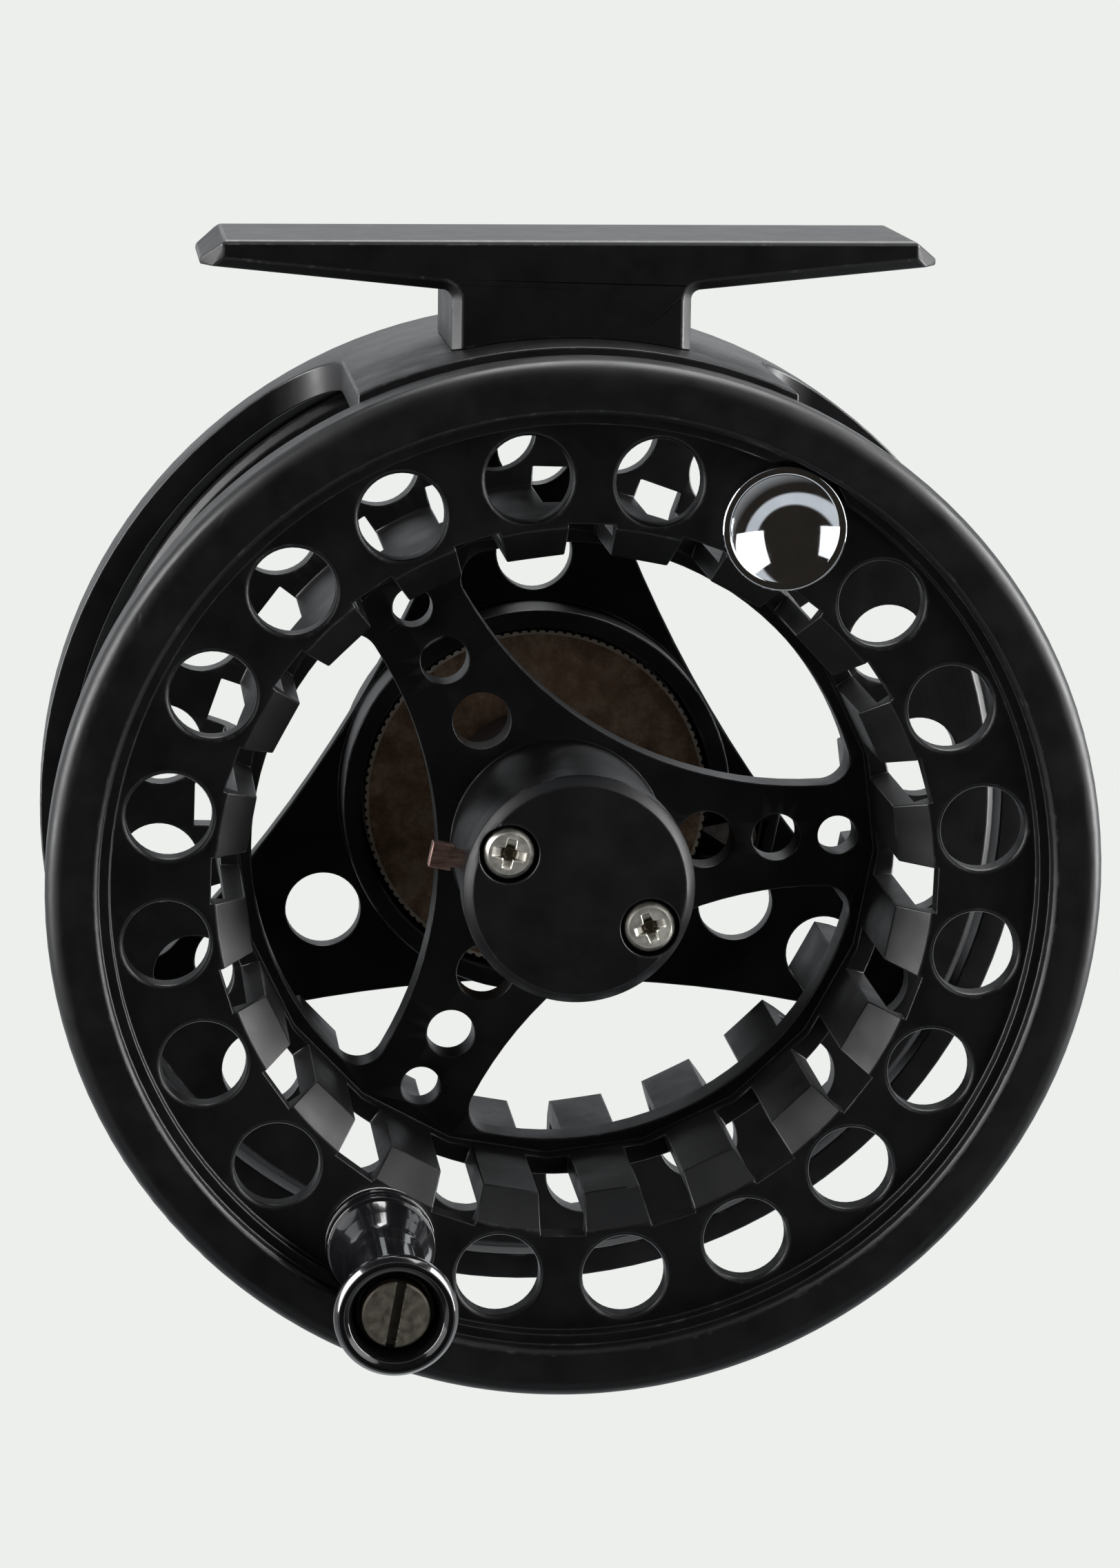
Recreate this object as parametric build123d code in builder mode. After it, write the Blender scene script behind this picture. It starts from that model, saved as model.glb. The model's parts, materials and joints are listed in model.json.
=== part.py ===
from build123d import *

import os
from math import cos, radians, sin, sqrt

# A fly reel: a ported large-arbor spool turns in a half frame that hangs from a reel foot, and a
# disc drag works behind it. All sizes are in millimetres.
#
# X points right seen from the handle side, Y from the handle side to the drag knob, Z up. The
# origin is the middle of the foot's top face. A depth is measured back, along Y, from the front
# face of the spool's rim, and a radius is measured from the spool's axis.

# ---------------------------------------------------------------- driving sizes

# Where the spool's axis and front face stand from the foot.
FOOT_RISE = 50.9           # spool axis up to the foot's top face
FOOT_SETBACK = 19.1        # rim's front face back to the foot's middle

# Fits between pieces, as gaps on one side.
RUNNING = 0.03             # a shaft turning in its bore
SLIDING = 0.05             # a hexagon or key that slides
AIR = 0.3                  # faces that must never touch
FLANGE_GAP = 0.9           # rear flange inside the frame's ring

# Spool.
RIM_RADIUS = 42.6
RIM_DEPTH = 5.4
RIM_BAND = 4.2             # radial width of the rim's front face
RIM_ROUND = 1.5
BEAD_WIDTH = 0.9           # low ledge between the rim and the web
BEAD_DROP = 1.4
WEB_DROP = 2.6             # web's front face behind the rim's
WEB_WALL = 2.0
ARBOR_FLAT = 26.5          # axis to the arbor's inner flats
ARBOR_WALL = 1.8
ARBOR_BEVEL = 2.6          # radial width of the bevel round the web's opening
REAR_FLANGE_RADIUS = 39.9
REAR_FLANGE_FRONT = 31.0
REAR_FLANGE_WALL = 2.2
REAR_FLANGE_ROUND = 0.6
PORT_COUNT = 20
PORT_CIRCLE = 33.28
PORT_RADIUS = 3.45
PORT_EDGE = 0.25
RIM_EDGE = 0.35
REAR_BEVEL = 1.6             # depth of the bevel round the rear opening
HANDLE_ANGLE = 241.45
SLOT_WIDTH = 3.7
FRONT_SLOT_BITE = 1.1       # how far a slot bites into the web, outside the arbor
REAR_SLOT_BITE = 1.6       # the same into the rear flange
SLOT_END = 1.4             # slot's end to the spider

# Spider that joins the arbor to the hub.
SPIDER_FRONT = 17.4
SPIDER_WALL = 3.0
SPIDER_RING_WALL = 0.9     # ledge that stands in from the arbor's flats
SPOKE_ANGLES = (1.3, 121.3, 241.3)
SPOKE_HOLES = ((12.45, 2.4), (18.45, 2.0), (23.65, 1.65))
SPIDER_WINDOW_INNER = 10.1
SPIDER_WINDOW_SWEEP = 33.0
SPIDER_WINDOW_CORNER = 2.2

# Hub, its cap and the release.
HUB_RADIUS = 9.0
HUB_FRONT = 4.0
HUB_REAR = 34.6
HUB_TAIL_RADIUS = 8.2
CAP_RADIUS = 9.4
CAP_FRONT = 0.75
CAP_CHAMFER = 0.8
CAP_SCREW_CIRCLE = 6.5
CAP_SCREW_ANGLE = 151.5
CAP_SCREW_HEAD = 2.05
CAP_SCREW_HEAD_DEPTH = 1.3
CAP_SCREW_SHANK = 1.0
CAP_SCREW_LENGTH = 6.0
CROSS_LENGTH = 2.4
CROSS_WIDTH = 0.6
CROSS_DEPTH = 0.7
COUNTERBORE_GAP = 0.35
LATCH_ANGLE = 168.5
LATCH_REACH = 12.0         # axis to the end of the tab
LATCH_WIDTH = 2.1
LATCH_STEM = 1.4
LATCH_WALL = 1.1
LATCH_TIP = 3.1
LATCH_TRAVEL = 1.0
CLIP_WIRE = 0.4
CLIP_ENGAGE = 0.05         # clip's wire above the bottom of the spindle's groove

# Spindle and bearings.
SPINDLE_RADIUS = 2.5
SPINDLE_FRONT = 2.2
SPINDLE_SEAT_RADIUS = 3.0
SPINDLE_TAIL_RADIUS = 2.0
SPINDLE_TAIL = 1.4           # tail behind the cup's boss
SPINDLE_NOSE = 0.6
SPINDLE_STEP = 0.6           # rear seat behind the drive sleeve
SLEEVE_CLIP_RADIUS = 3.5
SLEEVE_CLIP_BORE = 2.1
SLEEVE_CLIP_WALL = 0.5
SLEEVE_CLIP_GAP = 2.4
THRUST_WASHER_RADIUS = 4.2
GROOVE_RADIUS = 1.9
GROOVE_FRONT = 4.1
GROOVE_WIDTH = 1.3
BEARING_RADIUS = 5.0
BEARING_WIDTH = 4.0
BEARING_FRONTS = (6.0, 25.0)
BEARING_RING = 0.7
BALL_BITE = 0.065            # how far a ball sinks into each ring
BALL_COUNT = 8

# Handle and counterweight.
HANDLE_END = -17.5
HANDLE_FLANGE = 4.85
HANDLE_FLARE = 4.5
HANDLE_WAIST = 3.0
HANDLE_BORE = 2.3
HANDLE_DISH = 3.7
HANDLE_DISH_DEPTH = 2.1
HANDLE_POST = 1.6
HANDLE_SCREW_HEAD = 2.65
HANDLE_SCREW_HEAD_DEPTH = 1.2
HANDLE_SCREW_SHANK = 0.9
SCREW_SLOT_TURN = 80.0
SCREW_SLOT_WIDTH = 0.7
SCREW_SLOT_DEPTH = 0.5
HANDLE_WASHER = 0.5
HANDLE_RIVET = 2.6           # riveted end of the post, behind the web
HANDLE_RIVET_WALL = 0.5
COUNTERWEIGHT_RADIUS = 5.0
COUNTERWEIGHT_PROUD = 1.9
COUNTERWEIGHT_STUD = 1.6
COUNTERWEIGHT_DISH = 1.3

# Frame.
RING_WALL = 2.3
RING_FRONT = 32.6
RING_REAR = 37.1           # where the ring turns in to the plate
PLATE_FRONT = 39.0
PLATE_WALL = 2.0
PLATE_SHOULDER = 1.6       # radial width of the slope from the ring to the plate
FRAME_WINDOW_OUTER = 39.0
FRAME_WINDOW_INNER = 17.3
FRAME_WINDOW_SWEEP = 120.0
FRAME_WINDOW_CORNER = 3.0
ARM_ANGLES = (90, 210, 330)
ARM_HOLES = ((21.25, 3.3), (30.5, 3.3))
SADDLE_FRONT = 5.9
SADDLE_HALF_WIDTH = 17.6
SADDLE_FILLET = 6.0

# Foot.
FOOT_LENGTH = 59.6
FOOT_WIDTH = 15.0
FOOT_TOP_LENGTH = 55.6
FOOT_TIP_DROP = 1.55
FOOT_TIP_WALL = 0.5
FOOT_ROOT_WALL = 4.05
FOOT_CORNER = 1.8
FOOT_EDGE = 0.35
FOOT_ROOT_ROUND = 0.8
PEDESTAL_LENGTH = 19.4
PEDESTAL_CHAMFER = 0.8
FOOT_SCREW_SPACING = 11.0
FOOT_SCREW_SHANK = 1.25
FOOT_SCREW_HEAD = 2.3
FOOT_SCREW_SINK = 1.1
FOOT_SCREW_REACH = 6.5
FOOT_SCREW_SOCKET = 0.8      # key size and depth

# Drag.
DISC_FRONT = 35.2
DISC_RADIUS = 15.0
DISC_WALL = 1.6
DISC_TEETH = 120
DISC_TOOTH = 0.18
DISC_BORE = 6.1
CUP_WALL = 1.6
CUP_GAP = 0.4
CUP_FRONT = 33.9
WASHER_WALL = 1.2
WASHER_BORE = 9.0
PRESSURE_WALL = 1.4
DRAG_SPRING_HEIGHT = 1.8
DRAG_SPRING_WIRE = 0.5
THRUST_PLATE_WALL = 0.8
FLOOR_WALL = 2.0
BOSS_RADIUS = 5.0
BOSS_LENGTH = 2.2
CLUTCH_OUTER = 7.0
CLUTCH_WALL = 1.4
CLUTCH_LENGTH = 4.2
CLUTCH_ROLLERS = 8
ROLLER_RADIUS = 0.77
DISC_BOSS_WALL = 1.6
SLEEVE_RADIUS = 4.0
SLEEVE_HEX = 10.0          # across the flats
SLEEVE_HEX_FRONT = 29.6
SLEEVE_HEX_LENGTH = 5.2
SLEEVE_REAR = 41.0

# Drag knob, with the nut that it drives.
KNOB_RADIUS = 15.0
KNOB_DEPTH = 8.4
KNOB_SCALLOPS = 12
KNOB_SCALLOP_RADIUS = 3.0
KNOB_SCALLOP_BITE = 0.8
KNOB_EDGE = 1.0
KNOB_COLLAR_WALL = 1.7
KNOB_CAVITY_DEPTH = 4.2
KNOB_CAP_RADIUS = 9.0
KNOB_CAP_WALL = 1.0
KNOB_CAP_EDGE = 0.2
KNOB_SCREW_RADIUS = 1.0
KNOB_SCREW_REACH = 3.5       # into the spindle
KNOB_SCREW_HEAD = 3.0
KNOB_SCREW_HEAD_DEPTH = 1.3
KNOB_SCREW_SOCKET = 0.8
NUT_RADIUS = 11.6
NUT_BORE = 7.4
NUT_WALL = 2.0
NUT_PITCH = 1.0            # travel for one turn of the knob
NUT_START = 1.1            # nut behind the cup's rear face with the drag backed off
PUSH_PIN_CIRCLE = 9.5
PUSH_PIN_RADIUS = 0.9
PUSH_PIN_ANGLES = (90, 210, 330)
DETENT_CIRCLE = 13.2
DETENT_COUNT = 20
DETENT_BALL = 0.8
DETENT_DIMPLE = 0.5
DETENT_HOLE = 4.5
COIL_RADIUS = 0.55
COIL_WIRE = 0.12
COIL_TURNS = 4

# Click pawl.
CLICK_ANGLE = 349.0
PAWL_REACH = 3.4             # disc's edge to the pawl's pin
PAWL_RADIUS = 1.5
PAWL_WALL = 1.5
PAWL_PIN = 0.6
PAWL_NOSE = 0.3            # width of the nose
PAWL_TIP_GAP = 0.12
CLICK_POCKET_RADIUS = 2.0
CLICK_BOSS_WALL = 0.9
CLICK_SPRING_WALL = 0.25

# ---------------------------------------------------------------- sizes that follow

WEB_REAR = WEB_DROP + WEB_WALL
RIM_INNER = RIM_RADIUS - RIM_BAND
ARBOR_RADIUS = ARBOR_FLAT + ARBOR_WALL
REAR_FLANGE_REAR = REAR_FLANGE_FRONT + REAR_FLANGE_WALL
COUNTERWEIGHT_ANGLE = HANDLE_ANGLE - 180
PORT_PITCH = 360 / PORT_COUNT
SPIDER_REAR = SPIDER_FRONT + SPIDER_WALL
SPIDER_RING = ARBOR_FLAT - SPIDER_RING_WALL

RING_INNER = REAR_FLANGE_RADIUS + FLANGE_GAP
RING_RADIUS = RING_INNER + RING_WALL
PLATE_REAR = PLATE_FRONT + PLATE_WALL

CUP_INNER = DISC_RADIUS + CUP_GAP
CUP_RADIUS = CUP_INNER + CUP_WALL
DISC_REAR = DISC_FRONT + DISC_WALL
WASHER_REAR = DISC_REAR + WASHER_WALL
PRESSURE_REAR = WASHER_REAR + PRESSURE_WALL
SPRINGS_REAR = PRESSURE_REAR + DRAG_SPRING_HEIGHT
THRUST_REAR = SPRINGS_REAR + THRUST_PLATE_WALL
FLOOR_FRONT = THRUST_REAR + AIR
CUP_REAR = FLOOR_FRONT + FLOOR_WALL
BOSS_REAR = CUP_REAR + BOSS_LENGTH
STACK_RADIUS = CUP_INNER - AIR

KNOB_FRONT = CUP_REAR + AIR
KNOB_REAR = KNOB_FRONT + KNOB_DEPTH
KNOB_CAVITY_REAR = KNOB_FRONT + KNOB_CAVITY_DEPTH
NUT_FRONT = CUP_REAR + NUT_START

PAWL_PIVOT = DISC_RADIUS + PAWL_REACH
PAWL_REAR = DISC_REAR
POCKET_FLOOR = PAWL_REAR + 0.2
POCKET_END = PAWL_PIVOT + CLICK_POCKET_RADIUS
BOLT_RADIUS = SPINDLE_RADIUS + RUNNING
BALL_RADIUS = (BEARING_RADIUS - BOLT_RADIUS) / 2 - BEARING_RING + BALL_BITE
HANDLE_BACK = WEB_DROP - HANDLE_WASHER - 0.1

# The spool's axis, and a plane through it for turned outlines of (radius, depth).
SPOOL_AXIS = Axis((0, 0, -FOOT_RISE), (0, 1, 0))
SPOOL_PROFILE = Plane(origin=(0, -FOOT_SETBACK, -FOOT_RISE), x_dir=(1, 0, 0), z_dir=(0, 0, 1))


def facing(depth, angle=0.0, radius=0.0, turn=None):
    """Plane square to the spool's axis, facing the handle side.

    Its origin lies at the angle and radius. Its X runs along the angle, or along the turn.
    """
    along = Vector(cos(radians(angle)), 0, sin(radians(angle)))
    origin = along * radius + Vector(0, depth - FOOT_SETBACK, -FOOT_RISE)
    heading = radians(angle if turn is None else turn)
    return Plane(origin=origin, x_dir=(cos(heading), 0, sin(heading)), z_dir=(0, -1, 0))


def profile_at(angle, radius):
    """Plane for turned outlines about an axis that lies parallel to the spool's."""
    return Plane(
        origin=facing(0, angle, radius).origin,
        x_dir=(cos(radians(angle)), 0, sin(radians(angle))),
        z_dir=(-sin(radians(angle)), 0, cos(radians(angle))),
    )


def axis_at(angle, radius):
    """Axis parallel to the spool's, through a point at an angle and a radius."""
    return Axis(facing(0, angle, radius).origin, (0, 1, 0))


def turned(outline, angle=None, radius=0.0, mode=Mode.ADD):
    """Turn a closed outline of (radius, depth) points in the part being built."""
    plane = SPOOL_PROFILE if angle is None else profile_at(angle, radius)
    axis = SPOOL_AXIS if angle is None else axis_at(angle, radius)
    with BuildSketch(plane) as section:
        with BuildLine():
            Polyline(*outline, close=True)
        make_face()
    revolve(section.sketch, axis=axis, mode=mode)


def tube(outer, inner, front, rear, angle=None, radius=0.0, mode=Mode.ADD):
    """A plain ring, or a solid bar where the inner radius is 0."""
    turned([(inner, front), (outer, front), (outer, rear), (inner, rear)], angle, radius, mode)


def round_hole(hole_radius, front, rear, angle, radius):
    """Cut a round hole, parallel to the spool's axis, between two depths."""
    tube(hole_radius, 0, front, rear, angle, radius, Mode.SUBTRACT)


def lens_window(outer, inner, sweep, corner, front, rear, angle):
    """Cut a window between a circle about the axis and a wide arc that bulges to the hub."""
    with BuildSketch(facing(rear, angle)) as window:
        Circle(outer)
        with Locations((inner + sweep, 0)):
            Circle(sweep, mode=Mode.INTERSECT)
        fillet(window.vertices(), corner)
    extrude(window.sketch, amount=rear - front, mode=Mode.SUBTRACT)


def save(part, name):
    """Label a finished piece and write it as its own STEP file."""
    part.label = name
    export_step(part, f"parts/{name}.step")
    print(f"{name}: {len(part.solids())} solid(s), {part.volume:.1f} mm3")


os.makedirs("parts", exist_ok=True)

# ---------------------------------------------------------------- frame

with BuildPart() as frame:
    # Shell over the full depth, closed by the back plate. The ring and the saddle are left of it.
    turned(
        [
            (RING_INNER, SADDLE_FRONT),
            (RING_RADIUS, SADDLE_FRONT),
            (RING_RADIUS, RING_REAR),
            (RING_RADIUS - PLATE_SHOULDER, PLATE_REAR),
            (0, PLATE_REAR),
            (0, PLATE_FRONT),
            (RING_INNER - PLATE_SHOULDER, PLATE_FRONT),
            (RING_INNER, RING_REAR),
        ]
    )
    with BuildSketch(Plane.XY.offset(-FOOT_RISE)) as beside_saddle:
        cut_length = RING_FRONT - SADDLE_FRONT + 2 * SADDLE_FILLET
        cut_width = RING_RADIUS + SADDLE_FILLET - SADDLE_HALF_WIDTH
        for side in (-1, 1):
            middle = side * (SADDLE_HALF_WIDTH + cut_width / 2)
            with Locations((middle, RING_FRONT - FOOT_SETBACK - cut_length / 2)):
                Rectangle(cut_width, cut_length)
        corners = beside_saddle.vertices().filter_by(
            lambda v: abs(abs(v.X) - SADDLE_HALF_WIDTH) < 0.01 and v.Y > 0
        )
        fillet(corners, SADDLE_FILLET)
    extrude(beside_saddle.sketch, amount=2 * RING_RADIUS, mode=Mode.SUBTRACT)
    with BuildSketch(Plane.XY.offset(-FOOT_RISE)) as lower_half:
        with Locations((0, RING_FRONT - FOOT_SETBACK - cut_length / 2)):
            Rectangle(3 * RING_RADIUS, cut_length)
    extrude(lower_half.sketch, amount=-2 * RING_RADIUS, mode=Mode.SUBTRACT)
    # The plate's three windows, and the drag's cup.
    for arm_angle in ARM_ANGLES:
        lens_window(
            FRAME_WINDOW_OUTER,
            FRAME_WINDOW_INNER,
            FRAME_WINDOW_SWEEP,
            FRAME_WINDOW_CORNER,
            PLATE_FRONT,
            PLATE_REAR,
            arm_angle + 60,
        )
        for hole_at, hole_radius in ARM_HOLES:
            round_hole(hole_radius, PLATE_FRONT, PLATE_REAR, arm_angle, hole_at)
    tube(CUP_RADIUS, 0, CUP_FRONT, CUP_REAR)
    with BuildSketch(facing(PLATE_FRONT, CLICK_ANGLE)) as click_boss:
        with Locations((POCKET_END / 2 + CLICK_BOSS_WALL / 2, 0)):
            Rectangle(
                POCKET_END + CLICK_BOSS_WALL, 2 * (CLICK_POCKET_RADIUS + CLICK_BOSS_WALL)
            )
    extrude(click_boss.sketch, amount=PLATE_FRONT - CUP_FRONT)
    tube(BOSS_RADIUS, 0, CUP_REAR, BOSS_REAR)
    tube(CUP_INNER, 0, CUP_FRONT, FLOOR_FRONT, mode=Mode.SUBTRACT)
    tube(SPINDLE_SEAT_RADIUS, 0, FLOOR_FRONT, BOSS_REAR, mode=Mode.SUBTRACT)
    for pin_angle in PUSH_PIN_ANGLES:
        round_hole(PUSH_PIN_RADIUS + 0.1, FLOOR_FRONT, CUP_REAR, pin_angle, PUSH_PIN_CIRCLE)
    # Dimples for the knob's detent ball, in the cup's rear face.
    for dimple in range(DETENT_COUNT):
        round_hole(
            DETENT_DIMPLE, CUP_REAR - 0.3, CUP_REAR, 90 + dimple * 360 / DETENT_COUNT, DETENT_CIRCLE
        )
    # Pocket for the click pawl, open through the cup's wall to the drag disc.
    with BuildSketch(facing(POCKET_FLOOR, CLICK_ANGLE)) as click_pocket:
        with Locations(((DISC_RADIUS + POCKET_END) / 2, 0)):
            Rectangle(POCKET_END - DISC_RADIUS, 2 * CLICK_POCKET_RADIUS)
    extrude(click_pocket.sketch, amount=POCKET_FLOOR - CUP_FRONT, mode=Mode.SUBTRACT)
    round_hole(PAWL_PIN, POCKET_FLOOR, PLATE_REAR, CLICK_ANGLE, PAWL_PIVOT)
    # Countersunk holes that take the foot's screws from inside the saddle.
    head_level = sqrt(RING_INNER**2 - (FOOT_SCREW_SPACING / 2) ** 2) - FOOT_RISE
    for side in (-1, 1):
        with BuildSketch(Plane.XZ) as screw_hole:
            with BuildLine():
                middle = side * FOOT_SCREW_SPACING / 2
                Polyline(
                    (middle, head_level - 2),
                    (middle + FOOT_SCREW_HEAD + 0.1, head_level - 2),
                    (middle + FOOT_SCREW_HEAD + 0.1, head_level),
                    (middle + FOOT_SCREW_SHANK, head_level + FOOT_SCREW_SINK),
                    (middle + FOOT_SCREW_SHANK, 0),
                    (middle, 0),
                    close=True,
                )
            make_face()
        revolve(screw_hole.sketch, axis=Axis((middle, 0, 0), (0, 0, 1)), mode=Mode.SUBTRACT)
save(frame.part, "frame")

# ---------------------------------------------------------------- reel foot and its screws

with BuildPart() as reel_foot:
    # Wings and pedestal in one front outline, carried through the foot's width.
    with BuildSketch(Plane.XZ.offset(-FOOT_WIDTH / 2)) as foot_front:
        with BuildLine():
            Polyline(
                (-FOOT_TOP_LENGTH / 2, 0),
                (-FOOT_LENGTH / 2, -FOOT_TIP_DROP),
                (-FOOT_LENGTH / 2, -FOOT_TIP_DROP - FOOT_TIP_WALL),
                (-PEDESTAL_LENGTH / 2, -FOOT_ROOT_WALL),
                (-PEDESTAL_LENGTH / 2, RING_INNER - FOOT_RISE),
                (PEDESTAL_LENGTH / 2, RING_INNER - FOOT_RISE),
                (PEDESTAL_LENGTH / 2, -FOOT_ROOT_WALL),
                (FOOT_LENGTH / 2, -FOOT_TIP_DROP - FOOT_TIP_WALL),
                (FOOT_LENGTH / 2, -FOOT_TIP_DROP),
                (FOOT_TOP_LENGTH / 2, 0),
                close=True,
            )
        make_face()
        roots = foot_front.vertices().filter_by(lambda v: abs(v.Y + FOOT_ROOT_WALL) < 0.01)
        fillet(roots, FOOT_ROOT_ROUND)
    extrude(foot_front.sketch, amount=FOOT_WIDTH)
    pedestal_edges = reel_foot.edges().filter_by(Axis.Z).filter_by(
        lambda e: abs(abs(e.center().X) - PEDESTAL_LENGTH / 2) < 0.01
    )
    chamfer(pedestal_edges, PEDESTAL_CHAMFER)
    # Tips narrowed in plan.
    with BuildSketch(Plane.XY.offset(1)) as tips:
        for end in (-1, 1):
            for side in (-1, 1):
                with BuildLine():
                    Polyline(
                        (end * (FOOT_LENGTH / 2 - FOOT_CORNER), side * (FOOT_WIDTH / 2 + 1)),
                        (end * (FOOT_LENGTH / 2 - FOOT_CORNER), side * FOOT_WIDTH / 2),
                        (end * (FOOT_LENGTH / 2), side * (FOOT_WIDTH / 2 - FOOT_CORNER)),
                        (end * (FOOT_LENGTH / 2 + 1), side * (FOOT_WIDTH / 2 - FOOT_CORNER)),
                        (end * (FOOT_LENGTH / 2 + 1), side * (FOOT_WIDTH / 2 + 1)),
                        close=True,
                    )
                make_face()
    extrude(tips.sketch, amount=-FOOT_ROOT_WALL - 1, mode=Mode.SUBTRACT)
    top_edges = reel_foot.edges().filter_by(Axis.X).group_by(Axis.Z)[-1]
    chamfer(top_edges, FOOT_EDGE)
    # The pedestal is hollowed to sit on the saddle.
    tube(RING_RADIUS, 0, 0, RING_REAR + FOOT_WIDTH, mode=Mode.SUBTRACT)
    with BuildSketch(Plane.XY.offset(head_level)) as tapped:
        with GridLocations(FOOT_SCREW_SPACING, 1, 2, 1):
            Circle(FOOT_SCREW_SHANK)
    extrude(tapped.sketch, amount=FOOT_SCREW_REACH + 0.3, mode=Mode.SUBTRACT)
save(reel_foot.part, "reel_foot")

with BuildPart() as foot_screws:
    for side in (-1, 1):
        with BuildSketch(Plane.XZ) as screw:
            with BuildLine():
                middle = side * FOOT_SCREW_SPACING / 2
                Polyline(
                    (middle, head_level),
                    (middle + FOOT_SCREW_HEAD, head_level),
                    (middle + FOOT_SCREW_SHANK, head_level + FOOT_SCREW_SINK),
                    (middle + FOOT_SCREW_SHANK, head_level + FOOT_SCREW_REACH),
                    (middle, head_level + FOOT_SCREW_REACH),
                    close=True,
                )
            make_face()
        revolve(screw.sketch, axis=Axis((middle, 0, 0), (0, 0, 1)))
    with BuildSketch(Plane.XY.offset(head_level)) as sockets:
        with GridLocations(FOOT_SCREW_SPACING, 1, 2, 1):
            RegularPolygon(FOOT_SCREW_SOCKET, 6, major_radius=False)
    extrude(sockets.sketch, amount=FOOT_SCREW_SOCKET, mode=Mode.SUBTRACT)
save(foot_screws.part, "foot_screws")

# ---------------------------------------------------------------- spindle and bearings

with BuildPart() as spindle:
    clip_front = SLEEVE_HEX_FRONT - SLEEVE_CLIP_WALL - 0.1
    clip_rear = clip_front + SLEEVE_CLIP_WALL
    tail_rear = BOSS_REAR + SPINDLE_TAIL
    seat_front = SLEEVE_REAR + SPINDLE_STEP
    turned(
        [
            (0, SPINDLE_FRONT),
            (SPINDLE_RADIUS - SPINDLE_NOSE, SPINDLE_FRONT),
            (SPINDLE_RADIUS, SPINDLE_FRONT + SPINDLE_NOSE),
            (SPINDLE_RADIUS, GROOVE_FRONT),
            (GROOVE_RADIUS, GROOVE_FRONT),
            (GROOVE_RADIUS, GROOVE_FRONT + GROOVE_WIDTH),
            (SPINDLE_RADIUS, GROOVE_FRONT + GROOVE_WIDTH),
            (SPINDLE_RADIUS, seat_front),
            (SPINDLE_SEAT_RADIUS, seat_front),
            (SPINDLE_SEAT_RADIUS, BOSS_REAR),
            (SPINDLE_TAIL_RADIUS, BOSS_REAR),
            (SPINDLE_TAIL_RADIUS, tail_rear),
            (0, tail_rear),
        ]
    )
    tube(SPINDLE_RADIUS, SLEEVE_CLIP_BORE, clip_front, clip_rear, mode=Mode.SUBTRACT)
    tapped_front = BOSS_REAR - KNOB_SCREW_REACH - 0.5
    tube(KNOB_SCREW_RADIUS, 0, tapped_front, tail_rear, mode=Mode.SUBTRACT)
save(spindle.part, "spindle")

with BuildPart() as sleeve_clip:
    # Retaining ring in the spindle's rear groove, with a gap to spring it on.
    tube(SLEEVE_CLIP_RADIUS, SLEEVE_CLIP_BORE, clip_front, clip_rear)
    with BuildSketch(facing(clip_rear, 300)) as clip_gap:
        with Locations((SLEEVE_CLIP_RADIUS, 0)):
            Rectangle(SLEEVE_CLIP_RADIUS, SLEEVE_CLIP_GAP)
    extrude(clip_gap.sketch, amount=SLEEVE_CLIP_WALL, mode=Mode.SUBTRACT)
save(sleeve_clip.part, "sleeve_clip")

with BuildPart() as thrust_washer:
    tube(THRUST_WASHER_RADIUS, SPINDLE_RADIUS, SLEEVE_REAR + SLIDING, seat_front)
save(thrust_washer.part, "thrust_washer")

BALL_CIRCLE = (BOLT_RADIUS + BEARING_RADIUS) / 2
RACE = BALL_RADIUS + 0.02


def cut_race(front):
    """Cut the groove that the balls run in, round the middle of a bearing's width."""
    with BuildSketch(SPOOL_PROFILE) as race:
        with Locations((BALL_CIRCLE, front + BEARING_WIDTH / 2)):
            Circle(RACE)
    revolve(race.sketch, axis=SPOOL_AXIS, mode=Mode.SUBTRACT)


with BuildPart() as bearing_outer_rings:
    for bearing_front in BEARING_FRONTS:
        bearing_rear = bearing_front + BEARING_WIDTH
        tube(BEARING_RADIUS, BEARING_RADIUS - BEARING_RING, bearing_front, bearing_rear)
        cut_race(bearing_front)
save(bearing_outer_rings.part, "bearing_outer_rings")

with BuildPart() as bearing_inner_rings:
    for bearing_front in BEARING_FRONTS:
        bearing_rear = bearing_front + BEARING_WIDTH
        tube(BOLT_RADIUS + BEARING_RING, BOLT_RADIUS, bearing_front, bearing_rear)
        cut_race(bearing_front)
save(bearing_inner_rings.part, "bearing_inner_rings")

with BuildPart() as bearing_balls:
    for bearing_front in BEARING_FRONTS:
        for ball in range(BALL_COUNT):
            place = facing(bearing_front + BEARING_WIDTH / 2, ball * 360 / BALL_COUNT, BALL_CIRCLE)
            with Locations(place.origin):
                Sphere(BALL_RADIUS)
save(bearing_balls.part, "bearing_balls")

# ---------------------------------------------------------------- spool

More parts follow.
